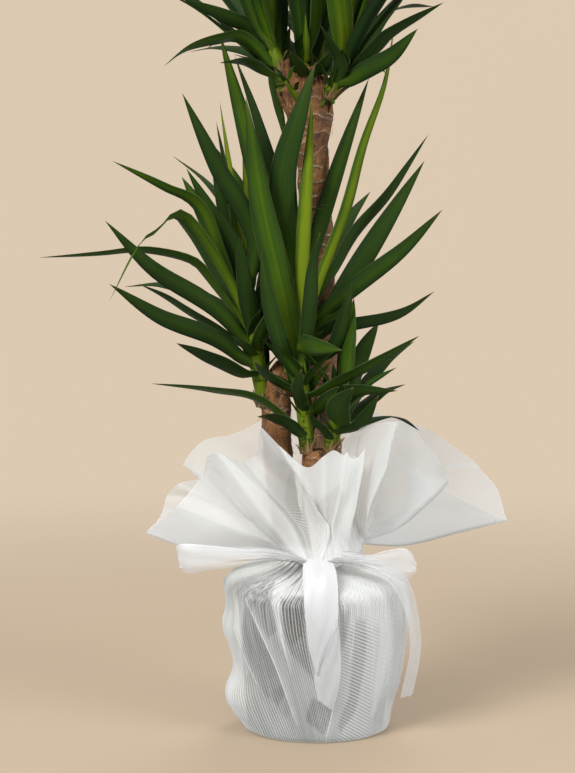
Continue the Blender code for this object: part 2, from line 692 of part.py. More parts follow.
def blade(line, across, width, thickness, sections, start=0.0):
    """A blade along a line: a shallow V of four corners at each section, and a point."""
    courses = tangents(line)
    rings = []
    for k in range(sections):
        share = k / sections
        if share < start:
            continue
        at = share * (len(line) - 1)
        i = int(at)
        centre = line[i].lerp(line[min(i + 1, len(line) - 1)], at - i)
        along = courses[i].lerp(courses[min(i + 1, len(line) - 1)], at - i).normalized()
        side = (across - along * across.dot(along)).normalized()
        up = side.cross(along)
        reach = width * leaf_width(share) / 2
        fold = math.radians(ROOT_FOLD + (TIP_FOLD - ROOT_FOLD) * min(share * 1.6, 1))
        edge = up * math.sin(fold) * reach
        half = up * thickness / 2
        out = side * math.cos(fold) * reach
        rings.append([centre - half, centre + out + edge, centre + half, centre - out + edge])
    points = [p for ring in rings for p in ring]
    faces = [(3, 2, 1, 0)]
    for a in range(0, len(points) - 4, 4):
        b = a + 4
        faces += blade_span(*range(a, a + 4), *range(b, b + 4))
    n = len(points)
    points.append(line[-1].copy())
    faces += [(n - 4 + i, n - 4 + (i + 1) % 4, n) for i in range(4)]
    return points, faces


def blade_span(under_a, right_a, top_a, left_a, under_b, right_b, top_b, left_b):
    """The faces from section a to section b, split alike above and below, so that they never cross."""
    return [
        (under_a, right_a, under_b), (right_a, right_b, under_b),
        (right_a, top_a, top_b), (right_a, top_b, right_b),
        (top_a, left_a, top_b), (left_a, left_b, top_b),
        (left_a, under_a, under_b), (left_a, under_b, left_b),
    ]


def seen_side(course, width_share, sign):
    """The direction across a blade that shows this share of its width to the front."""
    view = Vector((0, 1, 0))
    shown = course.cross(view).normalized()
    hidden = (view - course * view.dot(course)).normalized()
    return shown * width_share + hidden * sign * math.sqrt(1 - width_share**2)


def rule_side(course, compass, roll):
    """The level direction across a blade that grows towards compass, rolled about its course."""
    level = Vector((-math.sin(compass), math.cos(compass), 0))
    return level * math.cos(roll) + level.cross(course) * math.sin(roll)


def stem_line(shoot):
    _, _, foot, top = SHOOTS[shoot]
    return front_view(*foot), front_view(*top)


def stem_shape(shoot, extra=0.0):
    foot, top = stem_line(shoot)
    radius = SHOOTS[shoot][1] * CM + extra
    line = [foot.lerp(top, i / (len(STEM_SWELL) - 1)) for i in range(len(STEM_SWELL))]
    return tube(line, [radius * swell for swell in STEM_SWELL], STEM_SIDES)


class Leaf:
    """A placed blade: its shoot, middle line, direction across and greatest width."""

    def __init__(self, shoot, points, across, width):
        self.shoot, self.across, self.width = shoot, across, width
        self.line = smooth_line(points, LINE_POINTS)
        length = sum((b - a).length for a, b in zip(self.line, self.line[1:]))
        fewest, most = SECTIONS
        self.sections = min(max(round(length / SECTION_LENGTH), fewest), most)
        self.whole = tree_of(*self.shape(CLEARANCE))
        self.free = tree_of(*self.shape(CLEARANCE, FREE_ROOT))

    def shape(self, extra=0.0, start=0.0):
        width, thickness = self.width + 2 * extra, LEAF_THICKNESS + 2 * extra
        return blade(self.line, self.across, width, thickness, self.sections, start)


def clear_of(leaf, placed, stems, others):
    """Whether a leaf meets no other piece, no other shoot's stem and no leaf placed before it."""
    trees = others + [tree for shoot, tree in stems.items() if shoot != leaf.shoot]
    if any(leaf.whole.overlap(tree) for tree in trees):
        return False
    for other in placed:
        same = other.shoot == leaf.shoot
        if (leaf.free if same else leaf.whole).overlap(other.free if same else other.whole):
            return False
    return True


def seen_leaf(shoot, place, shown, course, shift):
    """A leaf read from the photograph, its far end moved by shift cm along the line of sight."""
    foot, top = stem_line(shoot)
    root = foot.lerp(top, place)
    points = [root]
    for k, (x, z, depth) in enumerate(course):
        points.append(front_view(x, z, depth + shift * (k + 1) / len(course)))
    width = max(shown * CM, LEAF_LEAST_WIDTH)
    sign = -1 if points[-1].x > root.x else 1
    across = seen_side((points[-1] - root).normalized(), shown * CM / width, sign)
    return Leaf(shoot, points, across, width)


def rule_leaf(shoot, number, rng):
    """A leaf drawn by rule: the higher on its stem, the younger, straighter and more upright."""
    count, (first, last), (short, long), rise = UNSEEN_LEAVES[shoot]
    place = (number + 0.7) / count
    young = place * place
    turn = (number * GOLDEN_ANGLE + rng.uniform(-20, 20)) % (last - first)
    length = rng.uniform(short, long) * CM * (0.75 + 0.25 * math.sin(place * math.pi))
    lift = math.radians(rise + (78 - rise) * young + rng.uniform(-8, 8))
    droop = math.radians(46 - 30 * young + rng.uniform(-14, 14))
    roll = math.radians(rng.uniform(-28, 28))
    width = rng.uniform(*(RULE_WIDTHS if long > BUD_LENGTH else BUD_WIDTHS))
    compass = math.radians(first + turn)
    out = Vector((math.cos(compass), math.sin(compass), 0))
    foot, top = stem_line(shoot)
    points = [foot.lerp(top, 0.12 + 0.85 * place)]
    for k in range(RULE_STEPS):
        angle = lift - droop * ((k + 0.5) / RULE_STEPS) ** 1.6
        step = out * math.cos(angle) + Vector((0, 0, math.sin(angle)))
        points.append(points[-1] + step * length / RULE_STEPS)
    across = rule_side((points[-1] - points[0]).normalized(), compass, roll)
    return Leaf(shoot, points, across, width)


def place_leaves(others):
    """Every leaf, each bent clear of the leaves, stems, canes and other pieces before it."""
    others = others + [tree_of(*part) for name in CANES for part in cane_parts(name, CLEARANCE)]
    stems = {shoot: tree_of(*stem_shape(shoot, CLEARANCE)) for shoot in SHOOTS}
    placed = []

    def place_first_clear(leaves):
        for leaf in leaves:
            if clear_of(leaf, placed, stems, others):
                placed.append(leaf)
                return

    shifts = [(step + 1) // 2 * DEPTH_STEP * (1 if step % 2 else -1) for step in range(DEPTH_TRIES)]
    for shoot, leaves in SEEN_LEAVES.items():
        for place, shown, course in leaves:
            place_first_clear(seen_leaf(shoot, place, shown, course, shift) for shift in shifts)
    for shoot, (count, *_) in UNSEEN_LEAVES.items():
        rng = random.Random(shoot + str(SEED))
        for number in range(count):
            place_first_clear(rule_leaf(shoot, number, rng) for _ in range(RULE_TRIES))
    return placed


def build_shoots(leaves, cane_cutters):
    for shoot in SHOOTS:
        parts = [stem_shape(shoot)]
        parts += [leaf.shape() for leaf in leaves if leaf.shoot == shoot]
        drop_scraps(joined(shoot, parts, "leaf", cane_cutters[SHOOTS[shoot][0]]))


def main():
    for old in list(bpy.data.objects):
        bpy.data.objects.remove(old)
    cutters = build_canes()
    build_pot()
    build_soil(cutters.values())
    net = net_faces()
    mesh_object("net_wrap", *net, "net")
    ribbon = ribbon_parts()
    joined("ribbon", ribbon, "ribbon")
    leaves = place_leaves([tree_of(*net), *(tree_of(*part) for part in ribbon)])
    build_shoots(leaves, cutters)


main()
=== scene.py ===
"""The looks of a potted yucca: its fine leaves, bark, soil, net wrap, ribbon, light and camera.

The places of canes, shoots, leaves, net and ribbon repeat those of the solids, and the fine
pieces keep them.
"""

import json
import math
import random

import bpy
import numpy as np
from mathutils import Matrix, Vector
from mathutils.bvhtree import BVHTree

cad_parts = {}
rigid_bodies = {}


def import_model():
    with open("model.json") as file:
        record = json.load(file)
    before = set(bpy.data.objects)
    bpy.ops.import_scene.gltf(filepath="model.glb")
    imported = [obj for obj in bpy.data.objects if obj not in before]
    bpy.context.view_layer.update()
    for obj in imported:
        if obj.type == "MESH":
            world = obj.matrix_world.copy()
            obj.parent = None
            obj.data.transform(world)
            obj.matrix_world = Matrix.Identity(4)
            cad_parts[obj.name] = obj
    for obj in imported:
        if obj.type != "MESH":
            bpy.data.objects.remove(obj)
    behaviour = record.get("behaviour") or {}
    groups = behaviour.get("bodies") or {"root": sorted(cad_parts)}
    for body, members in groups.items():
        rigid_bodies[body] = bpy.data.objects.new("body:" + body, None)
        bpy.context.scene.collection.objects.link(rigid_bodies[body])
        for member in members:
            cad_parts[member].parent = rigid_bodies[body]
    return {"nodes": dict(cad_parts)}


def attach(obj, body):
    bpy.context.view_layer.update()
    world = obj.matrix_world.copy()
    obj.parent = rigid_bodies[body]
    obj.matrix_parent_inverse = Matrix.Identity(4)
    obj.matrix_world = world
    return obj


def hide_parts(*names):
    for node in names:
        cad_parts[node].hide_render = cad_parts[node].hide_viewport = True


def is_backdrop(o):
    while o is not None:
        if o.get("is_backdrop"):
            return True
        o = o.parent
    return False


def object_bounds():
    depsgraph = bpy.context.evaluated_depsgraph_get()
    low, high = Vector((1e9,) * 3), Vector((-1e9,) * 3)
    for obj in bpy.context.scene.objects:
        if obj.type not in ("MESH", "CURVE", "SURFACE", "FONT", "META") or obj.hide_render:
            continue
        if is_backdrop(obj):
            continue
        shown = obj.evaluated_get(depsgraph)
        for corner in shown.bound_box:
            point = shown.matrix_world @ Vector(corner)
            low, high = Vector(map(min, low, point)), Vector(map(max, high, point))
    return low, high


CM = 0.01
GAP = 0.0003  # what touching pieces keep between them
QUARTERS = (0, 0.25, 0.5, 0.75, 1)
FINE_STEPS = 12  # points of a smooth line between two of its given points

# Pot
POT_RIM_RADIUS = 0.1085
POT_FOOT_RADIUS = 0.0935
POT_HEIGHT = 0.192
POT_WALL = 0.0022
POT_LIP_WIDTH = 0.0035
POT_LIP_HEIGHT = 0.012
MIDDLE_DRAIN_RADIUS = 0.0205
POT_ROUNDING = 0.0010
POT_COLUMNS = 120

# Soil
SOIL_TOP = 0.172
SOIL_SHOULDER = 0.004  # how far its rim lies below its top
SOIL_ROWS, SOIL_COLUMNS = 46, 150
SOIL_LUMPS = ((60.0, 11, 0.0030), (210.0, 12, 0.0018))  # scale, seed and size in metres
CRUMBS = 260
CRUMB_SIZES = (0.0012, 0.0055)
GRIT_SHARE = 0.3  # of the crumbs

# Net wrap
NET_THICKNESS = 0.0012
NECK_FOOT = 0.2340
NECK_TOP = 0.2515
NECK_RADIUS = 0.0585

# Ribbon
RIBBON_WIDTH = 0.046
RIBBON_THICKNESS = 0.0012
BAND_HEIGHT = 0.014
BAND_RADIUS = NECK_RADIUS + 0.0045
KNOT = Vector((0.002, -0.076, 0.2450))
KNOT_REACH = Vector((0.0170, 0.0130, 0.0115))
KNOT_ROWS, KNOT_COLUMNS = 26, 40
BAND_ROWS, BAND_COLUMNS = 12, 150
# The side tail's middle line in cm, and its width along it as shares of the whole
SIDE_TAIL = (
    (2.0, -7.6, 24.6), (6.0, -8.6, 24.2), (10.2, -8.4, 22.2),
    (12.6, -6.9, 18.0), (13.4, -6.4, 12.0), (12.2, -6.0, 5.4),
)
SIDE_TAIL_WIDTHS = (0.35, 0.45, 0.6, 0.8, 0.8, 0.8, 0.8)
SIDE_TAIL_COVER = (0.30, 0.30, 0.45, 0.58, 0.56, 0.55)
SIDE_TAIL_TURN = 1.4  # radians that shift its curls

# Canes
CANE_SIDES = 9
SCAR_SPACING = 0.030
SCAR_DEPTH = 0.0009
CANE_TOP_ROUNDING = 0.003

# Leaves
SECTION_LENGTH = 0.070
SECTIONS = (3, 6)  # the fewest and the most that a blade has
LINE_POINTS = 13  # points on a blade's middle line
LEAF_THICKNESS = 0.0016
LEAF_LEAST_WIDTH = 0.026
WIDEST_AT = 0.42  # share of a blade's length
ROOT_WIDTH = 0.38  # share of its greatest width
ROOT_FOLD = 26  # degrees that each half rises at the root, and near the tip
TIP_FOLD = 6
FLATTENING = 1.6  # how fast a blade flattens, as 1 over the share of its length that it takes
CLEARANCE = 0.0009  # added all round a blade while it is placed
FREE_ROOT = 0.10  # share of a blade, from its root, that may meet its own shoot
DEPTH_STEP = 0.7  # cm that a seen leaf moves along the line of sight to come clear
DEPTH_TRIES = 32
RULE_TRIES = 120
RULE_STEPS = 4
RULE_WIDTHS = (0.028, 0.037)
BUD_WIDTHS = (0.008, 0.008)
BUD_LENGTH = 10  # cm: shorter leaves have the bud's widths
GOLDEN_ANGLE = 137.5
# How far a leaf by rule may differ from the rule, in degrees
TURN_SPREAD, RISE_SPREAD, DROOP_SPREAD, ROLL_SPREAD = 20, 8, 14, 28
YOUNGEST_RISE = 78  # degrees
OLDEST_DROOP, LOST_DROOP = 46, 30  # degrees, and how much of them the youngest leaf lacks
LOWEST_ROOT, ROOT_RUN = 0.12, 0.85  # shares of the stem: where the roots begin, and their run
OLDEST_TONE, GAINED_TONE = 0.30, 0.35
STEM_SIDES = 8
STEM_SWELL = (1, 1.05, 0.95, 0.75, 0.35)
SEED = 7

# Where the plant was looked at from, to place a leaf seen at a front view position at any depth
EYE = Vector((-0.039, -2.5, 0.66))

# Each cane: radius, and its middle line as (x, y, z) in cm from the foot up
CANES = {
    "cane_tall": (
        2.2, ((2.4, 2.2, 8.5), (1.75, 2.3, 23), (0.9, 2.0, 48), (-0.4, 1.4, 76), (-1.2, 1.0, 86))
    ),
    "cane_middle": (2.0, ((-2.3, 0.6, 8.5), (-3.3, 0.4, 23), (-5.2, 0.0, 37), (-5.4, -0.2, 46.3))),
    "cane_short": (2.2, ((0.4, -2.9, 8.5), (0.3, -3.1, 23), (0.1, -3.6, 38.3))),
}
KNOB_RADIUS = 3.1 * CM  # the tall cane widens under its crown
KNOB_LENGTH = 0.055
STUB_RADIUS = 1.75 * CM  # its side branch, cut short
STUB_LINE = ((-0.9, 1.2, 80.5), (-2.6, 0.4, 84.0), (-4.2, -0.6, 87.0))
STUB_SECTIONS = 5

# Each shoot: its cane, stem radius, stem foot and stem top in cm at the front view, with depth
SHOOTS = {
    "shoot_tall_left": ("cane_tall", 1.05, (-3.8, 85.0, -0.6), (-6.0, 92.5, -2.0)),
    "shoot_tall_centre": ("cane_tall", 1.05, (-1.5, 84.5, 0.6), (-1.5, 93.5, 0.5)),
    "shoot_tall_right": ("cane_tall", 1.05, (0.6, 83.0, -0.3), (4.0, 91.0, -3.0)),
    "shoot_tall_back": ("cane_tall", 1.05, (-0.3, 84.0, 2.6), (0.5, 93.0, 8.0)),
    "shoot_tall_bud": ("cane_tall", 0.45, (-2.1, 84.6, -1.2), (-4.2, 87.5, -4.6)),
    "shoot_middle_left": ("cane_middle", 1.15, (-7.0, 43.6, -0.5), (-9.5, 59.5, -1.5)),
    "shoot_middle_right": ("cane_middle", 1.1, (-4.3, 44.8, 0.2), (-2.7, 57.0, -0.9)),
    "shoot_short_left": ("cane_short", 1.1, (-1.1, 37.2, -4.2), (-2.5, 53.0, -5.6)),
    "shoot_short_right": ("cane_short", 0.95, (1.7, 37.4, -4.2), (3.5, 45.5, -5.6)),
}

# Leaves seen in the photograph, by shoot: place on the stem from 0 to 1, width seen in cm,
# and the blade's course to its tip as front view cm across, front view cm up and depth
SEEN_LEAVES = {
    "shoot_tall_left": (
        (0.35, 1.8, ((-9.5, 93, -4), (-13, 93, -8), (-17, 92, -12), (-20.5, 89.5, -16))),
        (0.30, 1.2, ((-9.5, 90, -4), (-13, 90, -9))),
        (0.55, 2.4, ((-8, 94, -2), (-12, 96, -4), (-18, 98.5, -7))),
        (0.80, 2.6, ((-8, 95.5, -3), (-10.5, 102, -5), (-13.5, 109, -6))),
        (0.75, 2.6, ((-10, 97.5, 1), (-15, 104, 4))),
        (0.35, 1.4, ((-7.2, 88.6, -3.4), (-7.4, 85.6, -5.0), (-6.3, 82.0, -6.0), (-5, 78.5, -6.5))),
        (0.90, 3.0, ((-7.5, 98.5, -4), (-7.5, 110, -6), (-9, 119, -5))),
    ),
    "shoot_tall_centre": (
        (0.55, 1.6, ((-1.5, 92.5, -3), (-1.5, 96.5, -5))),
        (0.60, 1.8, ((0, 95.5, -4), (0, 107.5, -8))),
        (0.30, 2.2, ((-2.5, 89.5, -4), (-3.5, 91.5, -8))),
        (0.35, 2.0, ((0.5, 89, -3), (2, 91.5, -7))),
        (0.85, 3.2, ((-2, 101, -1), (-3.5, 114, -4), (-5, 123, -6))),
        (0.90, 3.2, ((-0.5, 101, 2), (1.5, 114, 2), (3.5, 124.5, 0))),
    ),
    "shoot_tall_right": (
        (0.35, 1.8, ((7.5, 91.5, -5), (10, 94, -7), (17, 98, -10))),
        (0.40, 2.8, ((6.5, 89, -6), (10, 91, -9), (13.5, 94.5, -13))),
        (0.60, 2.2, ((6.5, 92.5, 0), (9, 96, 2), (12, 99, 4))),
        (0.75, 3.8, ((3.5, 93, -5), (2.5, 101, -8), (0.5, 108, -11))),
        (0.40, 1.8, ((3, 90, -5), (0.5, 95, -9))),
        (0.70, 1.4, ((6, 95.5, -2), (8.5, 106, -3))),
        (0.85, 3.0, ((4.5, 97, -3), (6.5, 109, -4), (9, 118, -7))),
    ),
    "shoot_tall_back": (),
    "shoot_tall_bud": (),
    "shoot_middle_left": (
        (0.95, 3.0, ((-8.5, 67, -2), (-13.5, 76.5, -4), (-18, 86, -6))),
        (0.95, 1.4, ((-10.5, 67, 3), (-11.5, 74.5, 5), (-13, 85, 7))),
        (1.00, 1.8, ((-9.5, 66.5, 1), (-9.5, 75, 3), (-10, 82, 5))),
        (0.80, 2.6, ((-11, 65, -2), (-14, 70, -3), (-17.5, 76, -4))),
        (0.85, 2.8, ((-11, 63.5, 2), (-12, 68.5, 3), (-14, 76, 4))),
        (0.70, 2.2, ((-12, 61, -3), (-15.5, 70.5, -5), (-20.5, 73.5, -7), (-27.5, 77, -9))),
        (0.60, 1.8, ((-12, 61, -4), (-18, 69.5, -8), (-21.5, 67.5, -10), (-24, 65.5, -11), (-28, 58, -12))),
        (0.45, 2.8, ((-13.5, 57, -4), (-22, 62.5, -7), (-28.5, 69, -10))),
        (0.60, 1.4, ((-14.5, 61, -1), (-17, 63.5, -2), (-23, 65, -4), (-29, 64.5, -6), (-37.5, 64, -8))),
        (0.30, 2.8, ((-13.5, 53, -4), (-21, 56, -8), (-28, 60.5, -12))),
        (0.45, 1.4, ((-15.5, 55.5, 0), (-20, 58.5, 1), (-24, 60.5, 2))),
        (0.25, 2.2, ((-9.5, 48, -3), (-14.5, 50.5, -7), (-19, 52.5, -11))),
        (0.55, 2.8, ((-9.5, 59.5, -5), (-10.5, 67, -8))),
        (0.45, 2.0, ((-7.5, 53.5, -4), (-5, 59, -6))),
    ),
    "shoot_middle_right": (
        (0.60, 3.4, ((-0.5, 53, -2), (7, 65, -1.5), (14.5, 77, 0))),
        (0.80, 1.8, ((2, 61.5, -1.5), (5, 67, 0), (10, 73, 3), (15, 80.5, 7))),
        (0.70, 2.8, ((5, 60, -3), (11.5, 65, -5), (17, 70.5, -7))),
        (0.40, 2.0, ((2, 54.5, -2), (5.5, 55, -1.5), (11.5, 56.5, 1), (16, 59.5, 4))),
        (0.95, 2.6, ((-0.5, 65, -1), (3, 76.5, -1), (7, 88, 0))),
        (0.90, 3.4, ((-4, 65, 1), (-4.5, 74.5, 3), (-2.5, 82, 5), (-0.5, 88.5, 6))),
        (0.80, 3.4, ((-6, 67.5, 1), (-9.5, 81, 3), (-13, 94, 4))),
        (0.85, 2.2, ((-5, 71.5, 3), (-8, 82.5, 6), (-11, 91, 7))),
        (0.30, 2.4, ((2, 51.5, -2), (4, 57, -2), (5, 61, -1))),
    ),
    "shoot_short_left": (
        (0.45, 4.2, ((-4.5, 58.5, -7), (-7.5, 71.5, -8), (-9.5, 85.5, -9))),
        (0.95, 2.0, ((0, 59.5, -6), (4.5, 70.5, -6), (9.5, 87.5, -5), (10, 93.5, -4))),
        (0.15, 1.4, ((-7.5, 44.5, -7), (-13.5, 46, -9), (-22.5, 47, -12))),
        (0.45, 1.8, ((2, 46.5, -8), (7.5, 49.5, -10), (14, 53.5, -12))),
        (0.30, 2.4, ((2, 45, -8), (5.5, 46, -10), (11, 46, -12))),
        (0.85, 3.4, ((-2, 52, -9), (0, 52, -14), (3.5, 51.5, -17))),
        (0.35, 2.2, ((-2.5, 46, -9), (-2, 49, -11))),
        (0.12, 2.0, ((-4, 41.5, -7), (-6.5, 42.5, -9), (-8, 42.5, -12))),
        (0.60, 2.6, ((-4.5, 51.5, -8), (-6.5, 58.5, -10), (-7.5, 65, -11))),
        (0.90, 3.0, ((-2, 61, -6), (-1.5, 71.5, -6), (-1, 80, -5))),
        (0.50, 1.6, ((-6, 47.5, -7), (-8.5, 50, -10))),
        (0.75, 2.4, ((-1, 55.5, -8), (-0.5, 62.5, -9), (0.5, 67.5, -10))),
    ),
    "shoot_short_right": (
        (0.50, 3.8, ((3, 41.5, -8), (3, 44, -11), (5, 46.5, -14))),
        (0.30, 2.2, ((4, 40.5, -7), (6, 41.5, -9), (8.5, 45.5, -11))),
        (0.80, 2.8, ((4.5, 45, -5), (5, 47, -5), (6, 49, -4))),
        (0.20, 1.6, ((0.5, 41, -7), (-1, 43, -9))),
        (0.70, 2.2, ((2, 45, -4), (1, 48, -3))),
    ),
}

# Further leaves by rule: how many, compass range in degrees (90 is away from the front),
# least and greatest length in cm, and the rise of the lowest in degrees
UNSEEN_LEAVES = {
    "shoot_tall_left": (12, (85, 250), (26, 40), 52),
    "shoot_tall_centre": (12, (0, 360), (28, 42), 60),
    "shoot_tall_right": (12, (-60, 90), (26, 38), 56),
    "shoot_tall_back": (18, (48, 135), (26, 40), 18),
    "shoot_tall_bud": (5, (150, 330), (3, 6), 30),
    "shoot_middle_left": (12, (78, 132), (24, 36), 32),
    "shoot_middle_right": (13, (45, 140), (26, 42), 20),
    "shoot_short_left": (6, (70, 120), (16, 28), 30),
    "shoot_short_right": (7, (50, 100), (14, 26), 26),
}

# The net from the middle of its foot to the neck: radius, height and half depth of a pleat
NET_BODY = (
    (0.0955, 0.0, 0.0),
    (0.1010, 0.0065, 0.0),
    (0.1055, 0.0500, 0.0020),
    (0.1115, 0.1050, 0.0035),
    (0.1170, 0.1600, 0.0045),
    (0.1175, 0.1960, 0.0040),
    (0.1010, 0.2100, 0.0035),
    (0.0760, 0.2230, 0.0030),
    (NECK_RADIUS, NECK_FOOT, 0.0020),
    (NECK_RADIUS, NECK_TOP, 0.0020),
)

# Fine leaves
BLADE_SPANS = 26
SLIMMER = 0.88  # the solids' blades are a little broad
YOUNG_SLIMMER = 0.66  # and the pale young ones more so
YOUNG_TONE = 0.9
ACROSS_SPANS = 8
BLADE_THICKNESS = 0.0011
CLASP_SHARE = 0.15  # share of a blade that wraps its stem
CLASP_WIDTH = 0.72
HELD_LENGTH = 0.036  # metres of a blade's root that run up its stem
LEAST_HELD, MOST_HELD = 0.06, 0.24  # limits of that stretch as shares of the blade
CHANNEL, CHANNEL_ROOT = 0.02, 0.1414  # how round the fold along a blade's middle is, and its root
MOST_TURN = 1.9  # radians that half a root reaches round its stem
TIP_DRYNESS = (0.0, 0.5, 1.0)
LEAF_SHIFT = 3.7  # how far the grain of one leaf lies from the next one's
STEM_ROWS, STEM_COLUMNS = 30, 28
EDGE_WAVE = 0.0011
# Places of the front view without leaves, in cm: left, right, low and high
EMPTY_PLACES = ((17, 28, 84, 97), (2.5, 5.5, 83.5, 88.5), (-20, -16.5, 47.5, 51.5))
# Width seen and course of leaves that cross before the tall cane, hang behind it or rise beside it
OWN_COURSES = {
    ("shoot_middle_right", 5): (
        4.3, ((-3.6, 63, -3), (-4.5, 72.2, -5.5), (-4.2, 77, -6.5), (-2.35, 83.1, -7), (-0.1, 90.2, -6))
    ),
    ("shoot_short_left", 9): (3.0, ((-2, 61, -6), (-1.5, 71.5, -6), (-0.9, 80, -5), (-0.6, 85.5, -4.6))),
    ("shoot_short_left", 1): (
        2.2, ((0, 59.5, -6), (4, 70.5, -6), (6.4, 79.5, -5.5), (9.2, 87.5, -5), (10.4, 95.5, -4))
    ),
    ("shoot_tall_left", 5): (1.6, ((-5.9, 89.3, 1), (-5.8, 86.5, 2), (-4.9, 83, 2.5), (-4.1, 79, 2.8))),
}
# How light each seen leaf is, from 0, nearly black green, to 1, yellow green: a low tone holds both a leaf's
# own dark green and painted shade
TONES = {
    "shoot_tall_left": (0.50, 0.45, 0.38, 0.45, 0.42, 0.52, 0.50),
    "shoot_tall_centre": (0.82, 0.60, 0.42, 0.36, 0.50, 0.60),
    "shoot_tall_right": (0.34, 0.48, 0.34, 0.74, 0.36, 0.84, 0.60),
    "shoot_tall_back": (),
    "shoot_tall_bud": (),
    "shoot_middle_left": (
        0.32, 0.95, 0.93, 0.36, 0.36, 0.66, 0.72, 0.40, 0.56, 0.36, 0.30, 0.26, 0.30, 0.60
    ),
    "shoot_middle_right": (0.42, 0.38, 0.46, 0.26, 0.46, 0.46, 0.66, 0.36, 0.36),
    "shoot_short_left": (
        0.60, 0.86, 0.58, 0.50, 0.44, 0.60, 0.20, 0.22, 0.38, 0.95, 0.42, 0.34
    ),
    "shoot_short_right": (0.42, 0.34, 0.30, 0.24, 0.30),
}
COLLAR_SCALES = 13
SCALE_LENGTHS = (0.008, 0.022)
SCALE_WIDTHS = (0.004, 0.008)
SHEATHS = {
    "shoot_short_left": 10, "shoot_short_right": 8, "shoot_middle_left": 9, "shoot_middle_right": 8,
    "shoot_tall_left": 4, "shoot_tall_right": 5,
}
SHEATH_TURN = 60  # degrees
SHEATH_LENGTHS = (0.055, 0.100)
SHEATH_WIDTHS = (0.020, 0.027)
SHEATH_TONES = (0.34, 0.66)
FIRST_SHEATH = 500  # the seed of a shoot's first sheath
# Share of a stem, from its foot, that lies hidden in the tall cane's top
HIDDEN_FEET = {"shoot_tall_left": 0.45, "shoot_tall_centre": 0.30, "shoot_tall_right": 0.26}
COLLAR_LEAST_RADIUS = 0.006

# Fine bark
BARK_VOXEL = 0.0018
# The canes' tops at the front view: points across, depth and up, with radii, in cm
CANE_TOPS = {
    "cane_tall": (
        (
            ((-0.5, 1.3, 79.5), (-0.55, 1.2, 84.0), (-0.9, 1.0, 87.0), (-1.2, 1.0, 89.3)),
            (2.1, 2.75, 2.85, 2.2),
        ),
        (
            ((-1.4, 0.8, 82.0), (-2.6, 0.2, 85.5), (-3.9, -0.5, 88.2), (-4.9, -0.9, 90.2)),
            (1.6, 1.75, 1.7, 1.55),
        ),
    ),
    "cane_middle": (
        (
            ((-5.4, -0.2, 44.0), (-5.4, -0.2, 46.5), (-5.0, 0.0, 48.4), (-4.6, 0.1, 50.0)),
            (1.9, 1.9, 1.6, 0.8),
        ),
    ),
    "cane_short": (),
}
BARK_SIDES = 48
CROWN_ROWS = 13
CROWN_FOOT = 0.835  # height from which the tall cane's crown is rougher
ORANGE_BARK = {"cane_tall": 0.25, "cane_middle": 0.8, "cane_short": 0.9}
SCAR_STEP = 0.0085
BARK_LUMPS = ((55.0, 1, 0.0007), (170.0, 2, 0.0004))  # scale, seed and size in metres
SCAR_RISE = 0.0005
GROOVE_DEPTH = 0.0007
FLAKE_RISE = 0.0012
FURROW_DEPTH = 0.0030
FIBRE_LENGTHS = (0.005, 0.020)
FIBRE_WIDTHS = (0.00025, 0.00060)
FIBRES = {"cane_tall": 460, "cane_middle": 170, "cane_short": 170}

# Fine net wrap
WARP_SPACING = 0.0034
WEFT_SPACING = 0.0048
WEFT_SLANT = 0.38
CROSS_SPACING = 0.0031
CROSS_SLANT = 0.55
SECOND_SPACING = 0.0029
RIBBING_SPACING = 0.0034  # of the lines beside the ruff's folds
SECOND_SLANT = 0.42
LINE_CONTRAST = 0.48
DENSEST = 0.93  # the most that the body hides between its threads
FOOT_ROWS = 6
BODY_ROWS = 60
RUFF_ROWS = 44
COLUMNS_PER_DEGREE = 1.35
LEAST_COLUMNS = 8  # between two ribs
FOLDS = 27
NET_RADIUS = 0.115  # to turn angles into runs round the pot
BODY_NOISES = (((1.4, 1.4, 1.0), 21), ((4.2, 4.2, 0.5), 22), ((1.8, 1.8, 1.3), 23))  # scale and seed
# Stretches of the net round the compass: degrees of the middle and reach, and for a square one a
# higher power
LEFT_BAND = (186, 18)
RIGHT_BAND = (335, 22)
UPPER_RIGHT = (312, 26)
FRONT_PANEL = (300, 17, 4)
CALM_FRONT = (316, 32, 4)  # where the body has few folds
CALM_GATHERS = (316, 30, 4)
DRAWN_RIGHT = (252, 46)  # where low lines are drawn to the right, and to the left
DRAWN_LEFT = (330, 40)
CHEVRONS = (352, 9)  # threads along the ruff's right lobe
STRIPES = (266, 2.5)  # threads across a fold of the ruff
REAR = (30, 46)
KNOT_COMPASS = 268  # the net's lines are drawn towards it by the neck
GATHERS = 46
GATHER_DEPTH = 0.0011
RUFF_GATHERS = 0.55  # share of that depth in the ruff
RUFF_WAVES = ((22.0, 41, 0.0040), (60.0, 42, 0.0012))  # scale, seed and size in metres
# How much the net hides round the pot, from 0 to 1: everywhere, and what each cause adds
BODY_COVER = 0.52
NOISE_COVER = 0.10
RIGHT_COVER = 0.26
UPPER_RIGHT_COVER = 0.47
LEFT_COVER = 0.60
# Painted light: the net hides more on one side of each crease, so that side shows lighter
PAINTED_CREASE_LIGHT = 0.13
NECK_COVER = 0.50
UNDER_NECK_COVER = 0.16
PANEL_COVER = 0.12
# The same in the ruff
RUFF_NECK_COVER = 0.40
RUFF_NOISE_COVER = 0.05
RIB_COVER = 0.14
RIM_FADE = (0.0006, 0.0026)  # metres from the net's edge
FOLD_FADE = (0.0002, 0.0019)  # metres from a crease
